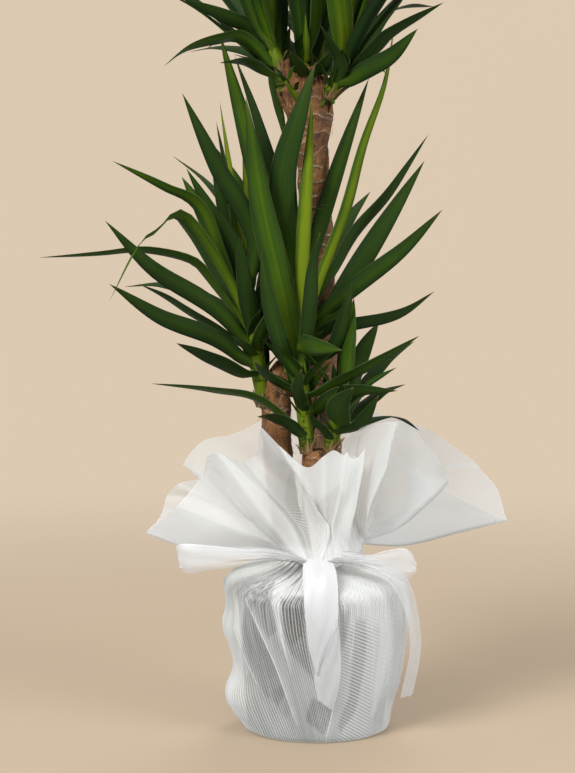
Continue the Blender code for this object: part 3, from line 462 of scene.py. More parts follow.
# The ruff's ribs, round the neck from the back by the left and the front to the right: compass
# degrees at the neck, how crisp a fold it is, how much the net hides there, and its course to
# the edge as front view cm across, front view cm up and depth
RUFF_RIBS = (
    (98, 0.0, 0.48, ((-3.5, 43.5, 15),)),
    (115, 0.0, 0.50, ((-10.8, 40.3, 13),)),
    (135, 0.0, 0.55, ((-15.4, 39.2, 11.5),)),
    (152, 0.7, 0.60, ((-7.4, 27.5, 2), (-12.4, 31.0, 5), (-18.4, 36.0, 8))),
    (160, 0.4, 0.55, ((-8.8, 28.5, 2), (-15.2, 34.2, 4))),
    (168, 0.4, 0.55, ((-11.0, 29.5, -1), (-18.5, 33.4, -1))),
    (178, 0.0, 0.55, ((-20.3, 31.6, 0),)),
    (184, 0.5, 0.55, ((-12.0, 27.2, -2), (-21.0, 29.9, -2))),
    (188, 0.3, 0.55, ((-11.2, 26.5, -2), (-21.4, 29.0, -2.5))),
    (192, 0.0, 0.60, ((-21.9, 28.2, -3),)),
    (202, 1.0, 0.62, ((-9.4, 23.5, -4), (-16.8, 24.2, -6), (-23.3, 26.5, -7))),
    (225, 0.3, 0.64, ((-10.6, 26.6, -8), (-18.7, 30.2, -9))),
    (238, 0.4, 0.58, ((-8.7, 27.8, -7), (-15.5, 34.6, -8))),
    (246, 0.4, 0.68, ((-9.0, 29.3, -9), (-14.9, 36.9, -10.5))),
    (254, 0.0, 0.74, ((-7.6, 29.9, -10), (-13.6, 37.5, -11.5))),
    (263, 1.0, 0.76, ((-3.6, 27.6, -7), (-7.6, 32.5, -9), (-12.5, 37.2, -11))),
    (265, 0.6, 0.71, ((-2.0, 27.0, -6), (-7.0, 32.9, -6), (-9.9, 36.2, -6))),
    (267, 0.0, 0.68, ((-2.6, 30.6, -6), (-8.2, 37.6, -5))),
    (269, 0.9, 0.74, ((-2.2, 33.1, -7), (-5.5, 37.7, -8), (-7.5, 41.1, -8.5))),
    (271.5, 1.0, 0.92, ((2.0, 26.6, -8.3), (0.1, 30.0, -8.9), (-1.9, 33.4, -9.3), (-5.2, 38.7, -9.2))),
    (274, 0.0, 0.92, ((1.2, 26.8, -7.4), (0.1, 30.5, -7.9), (-1.4, 35.6, -8.5))),
    (277, 0.3, 0.92, ((1.4, 27.5, -8.3), (1.0, 31.0, -8.8), (1.0, 37.1, -9.1))),
    (279, 0.0, 0.92, ((1.5, 27.2, -8.1), (1.8, 31.2, -8.7), (2.3, 37.9, -9.2))),
    (283, 0.0, 0.92, ((1.8, 27.0, -8.1), (2.4, 31.2, -8.7), (3.2, 37.5, -9.3))),
    (288, 0.0, 0.92, ((2.0, 26.8, -8.1), (2.8, 31.2, -8.7), (3.7, 37.2, -9.35))),
    (294, 1.0, 0.94, ((2.3, 26.6, -8.3), (3.2, 31.2, -8.95), (4.2, 37.7, -9.5))),
    (298, 0.3, 0.92, ((2.6, 27.0, -8.2), (3.6, 31.4, -8.85), (4.7, 36.8, -9.4))),
    (304, 0.0, 0.92, ((3.3, 26.8, -7.9), (4.4, 31.2, -8.6), (5.5, 36.8, -9.45))),
    (315, 1.0, 0.92, ((4.6, 26.0, -8), (5.4, 30.2, -8.8), (6.8, 38.3, -9.6))),
    (319, 0.3, 0.74, ((4.9, 27.4, -7.7), (5.4, 31.0, -8.5), (5.7, 36.8, -9.1))),
    (323, 0.0, 0.48, ((3.5, 38.6, -6.6),)),
    (325, 0.0, 0.46, ((5.6, 40.6, -8.4),)),
    (327, 0.0, 0.44, ((7.6, 41.4, -10),)),
    (331, 0.5, 0.50, ((7.4, 30.2, -9), (9.8, 35.6, -11), (10.8, 41.8, -12))),
    (333, 0.0, 0.46, ((12.4, 41.4, -12),)),
    (337, 0.0, 0.46, ((13.6, 40.4, -11.5),)),
    (342, 0.0, 0.50, ((16.8, 36.4, -10.5),)),
    (346, 1.0, 0.56, ((10.9, 27.0, -5), (15.1, 30.3, -7), (18.1, 33.6, -8))),
    (349, 0.5, 0.52, ((9.9, 26.8, -2), (12.3, 31.0, -3), (12.6, 36.0, -3))),
    (353, 0.0, 0.60, ((20.0, 31.0, 1),)),
    (358, 1.0, 0.66, ((12.3, 24.8, 1), (19.2, 26.5, 4), (26.0, 28.2, 8))),
    (368, 0.0, 0.66, ((24.6, 32.7, 11),)),
    (378, 0.0, 0.64, ((22.1, 35.7, 14),)),
    (387, 0.0, 0.62, ((20.1, 37.4, 15.5),)),
    (396, 0.0, 0.66, ((17.6, 39.2, 16.5),)),
    (408, 0.3, 0.58, ((14.6, 41.1, 17),)),
    (424, 0.0, 0.58, ((8.0, 43.0, 16),)),
    (440, 0.4, 0.56, ((5.4, 44.2, 14),)),
)
RIB_RISE = 1.3 * CM  # how far a rib rises from the neck before it leans out
# How the front of the ruff hangs over the band before it rises: metres out from the neck and up
DROOP = ((0.010, 0.002), (0.021, -0.015), (0.028, -0.016))
DROOP_AT = (276, 58)  # degrees of its middle and reach
KNOT_AT = (273, 24)  # where it hangs out further, over the knot
KNOT_AWAY = 0.007  # metres further out there
LEAST_AWAY = 0.004  # metres out from the neck at the back
# Creases of the body as front view cm across and up, each with its crispness
BODY_CREASES = (
    (0.8, ((-4.4, 22.7), (-9.6, 17.9))),
    (0.6, ((-4.0, 22.5), (-8.3, 17.4))),
    (0.7, ((-3.5, 22.4), (-6.5, 18.2), (-5.9, 16.4))),
    (1.0, ((-9.6, 17.5), (-5.6, 8.5), (-2.6, 0.0))),
    (0.7, ((-11.2, 13.6), (-9.6, 9.0), (-7.2, 4.0))),
    (0.8, ((-5.2, 16.6), (-4.6, 11.6), (-3.4, 7.0))),
    (0.6, ((5.4, 21.4), (7.2, 18.0), (7.8, 11.0), (7.6, 3.0))),
    (0.8, ((6.6, 21.6), (9.4, 17.6), (10.0, 11.0), (9.5, 2.6))),
    (0.5, ((9.4, 21.2), (12.0, 17.0), (12.3, 11.0))),
    (0.6, ((5.3, 15.0), (5.0, 11.5), (4.5, 8.6))),
    (1.0, ((2.4, 2.4), (1.3, -2.3))),
)
# Panes between the folds, where the net lies in fewer or more layers over the dark pot, and one that paints
# light over the gathers' shade by the neck: how much less or more it hides there, and the corners in front
# view cm, in order round the pane
PANES = (
    (-0.16, ((-9.6, 17.9), (-8.3, 19.2), (-6.2, 20.9), (-5.4, 20.4), (-5.8, 18.9), (-6.3, 17.6))),
    (0.26, (
        (-2.8, 22.5), (-4.1, 19.6), (-4.9, 17.4), (-5.0, 15.4), (-4.5, 11.8), (-4.1, 9.3), (-5.2, 12.6),
        (-5.8, 15.7), (-6.2, 17.5), (-5.6, 19.0), (-4.6, 21.6),
    )),
    (-0.18, (
        (-1.9, 17.9), (-1.5, 13.2), (-0.9, 9.0), (-0.2, 5.9), (-1.5, 7.6), (-3.3, 9.8), (-4.3, 11.5),
        (-4.9, 14.3), (-4.8, 17.3),
    )),
    (-0.10, ((-4.4, 16.5), (-1.9, 16.0), (-1.6, 12.6), (-3.3, 10.9), (-4.3, 12.6))),
    (-0.16, ((-9.5, 17.4), (-6.3, 17.4), (-5.6, 15.1), (-5.2, 13.2), (-6.6, 12.0), (-7.7, 13.7))),
    (-0.13, (
        (-9.7, 16.8), (-7.8, 13.7), (-5.8, 8.9), (-4.2, 4.4), (-5.2, 2.6), (-7.3, 4.2), (-9.0, 7.3),
        (-10.0, 10.4), (-10.1, 13.7),
    )),
    (0.10, (
        (-10.9, 17.6), (-9.9, 17.2), (-10.1, 13.0), (-10.0, 10.4), (-9.0, 7.3), (-9.6, 6.8), (-10.6, 9.6),
        (-11.0, 13.6),
    )),
    (-0.07, ((-6.0, 4.7), (-4.4, 5.4), (-3.1, 2.6), (-4.1, 0.9), (-5.7, 1.7))),
    (-0.17, ((-0.3, 3.8), (2.2, 2.1), (2.2, 0.6), (1.0, -1.5), (-1.4, 0.6), (-1.0, 2.6))),
    # Painted light: this pane lifts the gathers' shade by the neck
    (0.16, (
        (-0.9, 23.0), (-4.6, 22.6), (-8.5, 20.4), (-5.6, 19.9), (-4.4, 17.6), (-1.8, 17.8), (-1.0, 21.0),
    )),
    (0.10, ((0.9, 23.0), (3.4, 16.6), (8.2, 17.6), (9.9, 18.6), (8.6, 21.8), (5.0, 23.4))),
    (-0.17, (
        (5.4, 14.7), (6.7, 14.6), (7.0, 11.8), (6.5, 7.0), (5.4, 1.7), (3.4, -1.1), (2.9, -0.2), (4.5, 3.7),
        (5.1, 9.3), (4.9, 12.6),
    )),
    (-0.14, ((3.4, 15.4), (4.6, 15.7), (4.3, 12.3), (3.5, 10.4))),
    (0.15, (
        (8.8, 16.5), (10.4, 15.7), (10.3, 11.5), (9.5, 7.0), (8.3, 2.0), (7.5, 0.9), (8.0, 5.4), (8.7, 10.9),
    )),
    (-0.06, ((8.4, 3.1), (9.5, 3.7), (9.2, 0.3), (8.0, -0.2))),
)
# The same in the ruff, each pane with the compass degrees between which it lies
RUFF_PANES = (
    (271, 300, -0.13, ((-0.2, 30.4), (3.2, 33.3), (3.8, 31.8), (2.5, 23.3), (2.0, 23.1), (1.6, 26.0))),
    (294, 322, -0.13, ((5.1, 33.3), (6.6, 34.9), (5.6, 29.7), (4.7, 23.1), (4.3, 23.3))),
    (320, 348, -0.06, (
        (10.1, 34.1), (12.7, 34.7), (15.8, 34.1), (17.9, 33.1), (17.4, 32.0), (12.7, 29.7), (10.6, 28.6),
        (8.1, 30.2), (7.4, 31.8),
    )),
    (320, 348, 0.28, ((8.1, 30.2), (10.8, 28.3), (7.9, 28.5))),
    (353, 430, 0.16, ((14.5, 36.1), (21.6, 36.4), (22.4, 35.5), (14.8, 35.4))),
    (262, 272, -0.10, ((-3.6, 35.5), (-1.5, 34.9), (-1.7, 30.4), (-2.3, 27.6), (-3.0, 28.1), (-4.4, 31.2))),
)
PANE_EDGE = 0.40  # cm over which a pane's edge fades
RAY_SPACING = 0.0080  # between the light pleats that run to the knot
RAY_CONTRAST = 0.11
CREASE_REACH = 0.009  # how wide a ridge a crease raises
CREASE_RISE = 0.0012
# How far the loose net stands off the pot's left side, and off its right: height and distance, in cm
LEFT_BULGE = (
    (0, 0.0), (2.0, 0.9), (4.8, 2.3), (8.3, 0.1), (11.5, 0.7), (14.2, 1.6), (17.5, 0.4), (19.5, 0.9),
    (21.3, 1.5), (22.4, 0.8), (23.4, 0.0),
)
RIGHT_BULGE = (
    (0, 0.0), (2.7, 0.0), (4.5, 0.5), (6.7, 0.9), (11.2, 1.1), (14.7, 1.2), (16.5, 1.1), (19.2, 0.7),
    (21.0, 1.0), (22.4, 0.6), (23.4, 0.0),
)
LEFT_BULGE_AT = (186, 30)  # degrees of its middle and reach
RIGHT_BULGE_AT = (352, 28)
BULGE_ROUNDING = (-1.2, -0.6, 0.0, 0.6, 1.2)  # cm up and down over which a bulge is averaged

# Fine ribbon
RIBBON_SPANS = 48
RIBBON_ACROSS = 30
# The two edges of each stretch of the bow, as front view cm across, front view cm up and depth:
# the front tail above and below its twist, and the front and back of the left and the right loop
TAIL_LEFT = (
    (-0.8, 23.3, -8.6), (-1.8, 21.9, -9.8), (-1.6, 16.5, -12.5), (-1.1, 11.2, -12.8), (-0.4, 8.4, -12.6),
    (0.1, 6.9, -12.5),
)
TAIL_RIGHT = (
    (1.5, 23.4, -8.6), (2.4, 22.2, -9.6), (2.9, 20.0, -11.6), (3.0, 14.2, -12.9), (1.9, 11.2, -12.9),
    (0.8, 8.8, -12.7), (0.2, 7.0, -12.5),
)
TWIST_LEFT = (
    (2.7, 14.4, -12.5), (1.6, 11.2, -12.6), (0.5, 8.8, -12.4), (-0.2, 6.8, -12.3), (0.2, 3.5, -12.0),
)
TWIST_RIGHT = (
    (3.0, 15.0, -12.7), (3.3, 11.0, -12.8), (3.4, 7.6, -12.6), (3.0, 4.4, -12.3), (2.3, 1.9, -12.0),
)
LOOP_FRONT_TOP = (
    (-1.2, 22.9, -8.9), (-5.3, 24.0, -9.8), (-10.4, 24.4, -10.3), (-15.2, 24.8, -10.3),
    (-18.2, 25.0, -9.8), (-19.1, 24.7, -9.2),
)
LOOP_FRONT_FOOT = (
    (-1.2, 22.3, -9.0), (-5.2, 22.8, -10.0), (-10.4, 22.0, -10.8), (-15.2, 21.3, -10.8),
    (-17.6, 21.0, -10.1), (-18.6, 21.8, -9.3),
)
LOOP_BACK_TOP = (
    (-1.0, 23.2, -8.2), (-5.3, 24.3, -8.2), (-10.4, 24.8, -8.6), (-15.2, 25.0, -8.6),
    (-18.2, 25.1, -8.8), (-19.1, 24.7, -9.2),
)
LOOP_BACK_FOOT = (
    (-1.0, 22.6, -8.2), (-5.2, 23.4, -8.4), (-10.4, 23.0, -8.9), (-15.2, 22.2, -8.9),
    (-17.4, 21.8, -9.0), (-18.6, 21.8, -9.3),
)
RIGHT_FRONT_TOP = (
    (1.4, 23.0, -8.7), (5.0, 23.3, -9.1), (7.5, 23.5, -9.5), (9.7, 24.1, -9.8), (11.8, 24.4, -9.8),
    (13.0, 23.8, -9.5), (13.7, 22.3, -9.2),
)
RIGHT_FRONT_FOOT = (
    (1.4, 22.4, -8.9), (4.0, 22.5, -9.4), (6.6, 22.2, -9.9), (8.7, 21.4, -10.3), (11.0, 20.3, -10.5),
    (12.6, 20.0, -10.1), (13.6, 21.2, -9.3),
)
RIGHT_BACK_TOP = (
    (1.4, 23.1, -8.1), (5.0, 23.4, -8.2), (9.4, 24.0, -8.3), (12.4, 24.2, -8.7), (13.7, 22.3, -9.2),
)
RIGHT_BACK_FOOT = (
    (1.4, 22.5, -8.1), (4.5, 22.6, -8.2), (8.4, 22.2, -8.4), (11.6, 21.4, -8.8), (13.6, 21.2, -9.3),
)
LOOP_COVER = (0.7, 0.55, 0.5, 0.5, 0.6)
# Those stretches: two edges, cover along it, how far its edges curl in metres, how many pleats it
# has, and where it isn't most of it, what share of the spare width they take up
LEFT_PANELS = (
    (TAIL_LEFT, TAIL_RIGHT, (1.0, 1.0, 0.92, 0.82, 0.78), 0.004, 3.0, 0.25),
    (TWIST_LEFT, TWIST_RIGHT, (0.70, 0.62, 0.60, 0.58), 0.003, 1.0, 0.1),
    (LOOP_FRONT_TOP, LOOP_FRONT_FOOT, LOOP_COVER, 0.004, 4.0),
    (LOOP_BACK_TOP, LOOP_BACK_FOOT, LOOP_COVER, -0.003, 4.0),
)
RIGHT_PANELS = (
    (RIGHT_FRONT_TOP, RIGHT_FRONT_FOOT, (0.7, 0.50, 0.34, 0.36, 0.50), 0.004, 3.0),
    (RIGHT_BACK_TOP, RIGHT_BACK_FOOT, (0.7, 0.50, 0.42, 0.48, 0.60), -0.002, 3.0),
)

# Colours, as red, green and blue from 0 to 1. A table of them gives each one's place on its scale
LEAF_GREENS = (
    (0.00, (0.005, 0.012, 0.003)),
    (0.25, (0.010, 0.027, 0.007)),
    (0.45, (0.021, 0.052, 0.007)),
    (0.65, (0.048, 0.106, 0.003)),
    (0.85, (0.112, 0.186, 0.003)),
    (1.00, (0.230, 0.310, 0.008)),
)
LEAF_BENEATH = (0.036, 0.064, 0.012)
LEAF_ROOT = (0.115, 0.170, 0.016)
# Painted shade with a bluish sheen, towards each blade's sides
LEAF_SIDE_PAINTED_SHADE = (0.012, 0.036, 0.014)
LEAF_MARGIN = (0.220, 0.230, 0.070)
LEAF_LIT_THROUGH = (0.150, 0.260, 0.010)
DRY_BROWNS = ((0.110, 0.052, 0.020), (0.420, 0.270, 0.130))
BARK_BROWNS = (
    (0.32, (0.040, 0.014, 0.004)),
    (0.47, (0.140, 0.056, 0.016)),
    (0.58, (0.235, 0.108, 0.036)),
    (0.72, (0.400, 0.225, 0.095)),
)
BARK_RED = (0.290, 0.105, 0.022)
BARK_PALE = (0.380, 0.235, 0.140)
BARK_LIGHT_GRAIN = (0.560, 0.390, 0.220)
BARK_DARK_GRAIN = (0.045, 0.018, 0.009)
BARK_CRACK = (0.028, 0.011, 0.006)
BARK_SCAR = (0.740, 0.560, 0.380)
FIBRE_TANS = ((0.360, 0.190, 0.085), (0.700, 0.510, 0.330))
POT_TAUPE = (0.058, 0.050, 0.040)
POT_DUST = (0.130, 0.115, 0.095)
SOIL_BROWNS = (
    (0.30, (0.012, 0.007, 0.004)),
    (0.52, (0.045, 0.026, 0.014)),
    (0.72, (0.110, 0.066, 0.036)),
)
SOIL_DAMP = (0.020, 0.012, 0.008)
CHIP_BROWN = (0.200, 0.110, 0.055)
GRIT_WHITE = (0.640, 0.620, 0.570)
NET_WHITES = ((0.880, 0.892, 0.880), (0.845, 0.858, 0.842))
# The grey that the ruff's painted shade turns towards
NET_SHADE = (0.42, 0.43, 0.45)
NET_LIT_THROUGH = (0.92, 0.92, 0.91, 1)
SATIN_WHITE = (0.745, 0.750, 0.755)
SATIN_LIT_THROUGH = (0.95, 0.95, 0.95, 1)
FLOOR_COLOURS = ((0.445, 0.345, 0.245), (0.470, 0.366, 0.260))

# Camera and light
PITCH = 4.44  # degrees that the camera looks down
LENS = 86.2  # mm, for a frame whose taller side is 36 mm
FRAME_SIDE = 36.0
BACKDROP = (0.733, 0.597, 0.451)
BACKDROP_CLOUDS = 0.965  # how light its darkest places are, as a share
FLOOR_GLOW = 0.985  # how light the far floor is, as a share of the backdrop
DOME_RADIUS = 12.0
DOME_RISES = (-8, 89)  # degrees
DOME_ROWS, DOME_COLUMNS = 21, 64
FLOOR_RADIUS = 9.0
FLOOR_COLUMNS = 96
FLOOR_FADE = (0.5, 2.6)  # from here out the floor turns into the backdrop's own light
SURROUND = (0.99, 0.99, 0.98)
SURROUND_STRENGTH = 0.50
# Each soft box: place, what it faces, width, watts and colour
SOFT_BOXES = (
    ((-2.1, -2.6, 2.9), (0, 0, 0.5), 1.5, 160, (1.0, 1.0, 0.98)),
    ((2.6, -1.9, 1.5), (0, 0, 0.4), 1.6, 56, (1.0, 1.0, 1.0)),
    ((0.6, 2.3, 3.0), (0, 0, 0.7), 1.5, 48, (1.0, 0.99, 0.97)),
)


def front_view(x, z, depth):
    """The point at this depth that shows at x, z on the pot's axis plane, all in cm."""
    on_axis_plane = Vector((x * CM, 0, z * CM))
    return EYE + (on_axis_plane - EYE) * ((depth * CM - EYE.y) / -EYE.y)


def smooth_line(points, count):
    """count points, evenly spaced, along a Catmull-Rom curve through the given ones."""
    ends = [points[0] * 2 - points[1], *points, points[-1] * 2 - points[-2]]
    fine = []
    for a, b, c, d in zip(ends, ends[1:], ends[2:], ends[3:]):
        square, cube = a * 2 - b * 5 + c * 4 - d, b * 3 - a - c * 3 + d
        for t in (i / FINE_STEPS for i in range(FINE_STEPS)):
            fine.append(b + ((c - a) * t + square * t**2 + cube * t**3) / 2)
    fine.append(points[-1].copy())
    run = [0.0]
    for a, b in zip(fine, fine[1:]):
        run.append(run[-1] + (b - a).length)
    line, k = [], 0
    for i in range(count):
        want = run[-1] * i / (count - 1)
        while k < len(run) - 2 and run[k + 1] < want:
            k += 1
        share = (want - run[k]) / max(run[k + 1] - run[k], 1e-9)
        line.append(fine[k].lerp(fine[k + 1], min(max(share, 0), 1)))
    return line


def tangents(line):
    ends = [line[0], *line, line[-1]]
    return [(c - a).normalized() for a, c in zip(ends, ends[2:])]


def ramp(value, start, length):
    """0 up to start, 1 from start + length on, and a straight rise between."""
    return np.clip((value - start) / length, 0, 1)


def hump(value, middle, reach, power=2):
    """1 at the middle, falling towards 0 over about the reach on both sides."""
    return np.exp(-(((value - middle) / reach) ** power))


def eased(share):
    """A share from 0 to 1 that leaves and arrives softly."""
    return share * share * (3 - 2 * share)


def square_part(direction, course):
    """The part of a direction that is square to a course, at unit length."""
    return (direction - course * direction.dot(course)).normalized()


def ring_angles(columns):
    return np.arange(columns) * math.tau / columns


def ring_points(angles, radius, height):
    """Points round the axis. Radius and height are values, or arrays with one for each angle."""
    height = np.broadcast_to(height, angles.shape)
    return np.stack([np.cos(angles) * radius, np.sin(angles) * radius, height], 1)


def grid_faces(rows, columns, closed=False):
    """Quads between rows of points. Closed joins the last column to the first."""
    faces = []
    for i in range(0, (rows - 1) * columns, columns):
        for j in range(columns if closed else columns - 1):
            k = (j + 1) % columns
            faces.append((i + j, i + k, i + columns + k, i + columns + j))
    return faces


def closed_faces(rows, columns):
    """Quads all round between rows of points, and a face over each end."""
    last = (rows - 1) * columns
    ends = [tuple(reversed(range(columns))), tuple(range(last, last + columns))]
    return grid_faces(rows, columns, closed=True) + ends


def tube(line, radii, sides):
    """A closed tube along a line, its rings square to it."""
    points = []
    for centre, course, radius in zip(line, tangents(line), radii):
        across = course.cross(Vector((0, 1, 0))).normalized()
        ahead = course.cross(across)
        for angle in (math.tau * i / sides for i in range(sides)):
            points.append(centre + (across * math.cos(angle) + ahead * math.sin(angle)) * radius)
    return points, closed_faces(len(line), sides)


def tree_of(points, faces):
    return BVHTree.FromPolygons([tuple(p) for p in points], faces)


def cane_shape(name, extra=0.0, sides=CANE_SIDES):
    """A cane's tube with a leaf scar ring every few cm, grown by extra all round."""
    radius, course = CANES[name]
    course = [Vector(p) * CM for p in course]
    length = sum((b - a).length for a, b in zip(course, course[1:]))
    count = 2 * round(length / SCAR_SPACING) + 1
    line = smooth_line(course, count)
    rng = random.Random(name)
    radii = []
    for i, centre in enumerate(line):
        at_scar = -SCAR_DEPTH if i % 2 else SCAR_DEPTH * rng.uniform(0.4, 1.0)
        own = radius * CM + at_scar
        if name == "cane_tall":
            below_top = (line[-1] - centre).length
            swell = max(0.0, 1 - below_top / KNOB_LENGTH)
            own += (KNOB_RADIUS - radius * CM) * swell * (2 - swell)
        radii.append(own + extra)
    radii[-1] -= CANE_TOP_ROUNDING
    line[0] -= Vector((0, 0, extra))
    line[-1] += Vector((0, 0, extra))
    return tube(line, radii, sides)


def stub_shape(extra=0.0, sides=CANE_SIDES):
    line = smooth_line([Vector(p) * CM for p in STUB_LINE], STUB_SECTIONS)
    line[-1] += (line[-1] - line[-2]).normalized() * extra
    radii = [STUB_RADIUS + extra] * STUB_SECTIONS
    radii[-1] -= CANE_TOP_ROUNDING
    return tube(line, radii, sides)


def cane_parts(name, extra=0.0, sides=CANE_SIDES):
    stub = [stub_shape(extra, sides)] if name == "cane_tall" else []
    return [cane_shape(name, extra, sides)] + stub


def leaf_width(share):
    """A blade's width along its length, as a share of its greatest."""
    if share < WIDEST_AT:
        return ROOT_WIDTH + (1 - ROOT_WIDTH) * math.sin(share / WIDEST_AT * math.pi / 2)
    return 1 - ((share - WIDEST_AT) / (1 - WIDEST_AT)) ** 2


def half_fold(share):
    """How far each half of a blade rises at this share of its length, in radians."""
    return math.radians(ROOT_FOLD + (TIP_FOLD - ROOT_FOLD) * min(share * FLATTENING, 1))


def blade(line, across, width, thickness, sections, start=0.0):
    """A blade along a line: a shallow V of four corners at each section, and a point."""
    courses = tangents(line)
    points = []
    for share in (k / sections for k in range(sections) if k / sections >= start):
        at = share * (len(line) - 1)
        i = int(at)
        centre = line[i].lerp(line[i + 1], at - i)
        along = courses[i].lerp(courses[i + 1], at - i).normalized()
        side = square_part(across, along)
        up = side.cross(along)
        reach = width * leaf_width(share) / 2
        edge = up * math.sin(half_fold(share)) * reach
        half = up * thickness / 2
        out = side * math.cos(half_fold(share)) * reach
        points += [centre - half, centre + out + edge, centre + half, centre - out + edge]
    faces = [(3, 2, 1, 0)]
    for a in range(0, len(points) - 4, 4):
        faces += blade_span(*range(a, a + 8))
    n = len(points)
    points.append(line[-1].copy())
    faces += [(n - 4 + i, n - 4 + (i + 1) % 4, n) for i in range(4)]
    return points, faces


def blade_span(under_a, right_a, top_a, left_a, under_b, right_b, top_b, left_b):
    """The faces from section a to section b, split alike above and below, so that they never cross."""
    return [
        (under_a, right_a, under_b), (right_a, right_b, under_b),
        (right_a, top_a, top_b), (right_a, top_b, right_b),
        (top_a, left_a, top_b), (left_a, left_b, top_b),
        (left_a, under_a, under_b), (left_a, under_b, left_b),
    ]


def seen_side(course, width_share, sign):
    """The direction across a blade that shows this share of its width to the front."""
    view = Vector((0, 1, 0))
    shown = course.cross(view).normalized()
    hidden = square_part(view, course)
    return shown * width_share + hidden * sign * math.sqrt(1 - width_share**2)


def rule_side(course, compass, roll):
    """The level direction across a blade that grows towards compass, rolled about its course."""
    level = Vector((-math.sin(compass), math.cos(compass), 0))
    return level * math.cos(roll) + level.cross(course) * math.sin(roll)


def stem_line(shoot):
    _, _, foot, top = SHOOTS[shoot]
    return front_view(*foot), front_view(*top)


def stem_shape(shoot, extra=0.0):
    foot, top = stem_line(shoot)
    radius = SHOOTS[shoot][1] * CM + extra
    line = [foot.lerp(top, i / (len(STEM_SWELL) - 1)) for i in range(len(STEM_SWELL))]
    return tube(line, [radius * swell for swell in STEM_SWELL], STEM_SIDES)


class Leaf:
    """A placed blade: its shoot, course, direction across, greatest width and tone."""

    def __init__(self, shoot, points, across, width, tone):
        self.shoot, self.points, self.across = shoot, points, across
        self.width, self.tone = width, tone
        self.line = smooth_line(points, LINE_POINTS)
        self.length = sum((b - a).length for a, b in zip(self.line, self.line[1:]))
        fewest, most = SECTIONS
        self.sections = min(max(round(self.length / SECTION_LENGTH), fewest), most)
        self.whole = tree_of(*self.shape(CLEARANCE))
        self.free = tree_of(*self.shape(CLEARANCE, FREE_ROOT))

    def shape(self, extra=0.0, start=0.0):
        width, thickness = self.width + 2 * extra, LEAF_THICKNESS + 2 * extra
        return blade(self.line, self.across, width, thickness, self.sections, start)


def clear_of(leaf, placed, stems, others):
    """Whether a leaf meets no other piece, no other shoot's stem and no leaf placed before it."""
    trees = others + [tree for shoot, tree in stems.items() if shoot != leaf.shoot]
    if any(leaf.whole.overlap(tree) for tree in trees):
        return False
    for other in placed:
        same = other.shoot == leaf.shoot
        if (leaf.free if same else leaf.whole).overlap(other.free if same else other.whole):
            return False
    return True


def seen_leaf(shoot, place, shown, course, shift, tone):
    """A leaf read from the photograph, its far end moved by shift cm along the line of sight."""
    foot, top = stem_line(shoot)
    root = foot.lerp(top, place)
    points = [root]
    for k, (x, z, depth) in enumerate(course):
        points.append(front_view(x, z, depth + shift * (k + 1) / len(course)))
    width = max(shown * CM, LEAF_LEAST_WIDTH)
    sign = -1 if points[-1].x > root.x else 1
    across = seen_side((points[-1] - root).normalized(), shown * CM / width, sign)
    return Leaf(shoot, points, across, width, tone)


def rule_leaf(shoot, number, rng):
    """A leaf drawn by rule: the higher on its stem, the younger, straighter and more upright."""
    count, (first, last), (short, long), rise = UNSEEN_LEAVES[shoot]
    place = (number + 0.7) / count
    young = place * place
    turn = (number * GOLDEN_ANGLE + rng.uniform(-TURN_SPREAD, TURN_SPREAD)) % (last - first)
    length = rng.uniform(short, long) * CM * (0.75 + 0.25 * math.sin(place * math.pi))
    lift = rise + (YOUNGEST_RISE - rise) * young + rng.uniform(-RISE_SPREAD, RISE_SPREAD)
    droop = OLDEST_DROOP - LOST_DROOP * young + rng.uniform(-DROOP_SPREAD, DROOP_SPREAD)
    roll = math.radians(rng.uniform(-ROLL_SPREAD, ROLL_SPREAD))
    width = rng.uniform(*(RULE_WIDTHS if long > BUD_LENGTH else BUD_WIDTHS))
    compass = math.radians(first + turn)
    out = Vector((math.cos(compass), math.sin(compass), 0))
    foot, top = stem_line(shoot)
    points = [foot.lerp(top, LOWEST_ROOT + ROOT_RUN * place)]
    for k in range(RULE_STEPS):
        angle = math.radians(lift) - math.radians(droop) * ((k + 0.5) / RULE_STEPS) ** 1.6
        step = out * math.cos(angle) + Vector((0, 0, math.sin(angle)))
        points.append(points[-1] + step * length / RULE_STEPS)
    across = rule_side((points[-1] - points[0]).normalized(), compass, roll)
    return Leaf(shoot, points, across, width, OLDEST_TONE + GAINED_TONE * young)


def place_leaves(others):
    """Every leaf, each bent clear of the leaves, stems, canes and other pieces before it."""
    others = others + [tree_of(*part) for name in CANES for part in cane_parts(name, CLEARANCE)]
    stems = {shoot: tree_of(*stem_shape(shoot, CLEARANCE)) for shoot in SHOOTS}
    placed, named = [], {}

    def place_first_clear(leaves):
        for leaf in leaves:
            if clear_of(leaf, placed, stems, others):
                placed.append(leaf)
                return

    shifts = [(step + 1) // 2 * DEPTH_STEP * (1 if step % 2 else -1) for step in range(DEPTH_TRIES)]
    for shoot, leaves in SEEN_LEAVES.items():
        for number, ((place, shown, course), tone) in enumerate(zip(leaves, TONES[shoot])):
            before = len(placed)
            place_first_clear(seen_leaf(shoot, place, shown, course, shift, tone) for shift in shifts)
            if len(placed) > before and (shoot, number) in OWN_COURSES:
                own_width, own_course = OWN_COURSES[shoot, number]
                named[len(placed) - 1] = seen_leaf(shoot, place, own_width, own_course, 0, tone)
    for shoot, (count, *_) in UNSEEN_LEAVES.items():
        rng = random.Random(shoot + str(SEED))
        for number in range(count):
            place_first_clear(rule_leaf(shoot, number, rng) for _ in range(RULE_TRIES))
    return [named.get(number, leaf) for number, leaf in enumerate(placed) if not strays(leaf)]


def strays(leaf):
    """Whether a leaf by rule ends where the photograph shows only the backdrop."""
    x, z = (float(value[0]) / CM for value in front_place(np.array([tuple(leaf.points[-1])])))
    inside = any(left < x < right and low < z < high for left, right, low, high in EMPTY_PLACES)
    return inside and len(leaf.points) == RULE_STEPS + 1


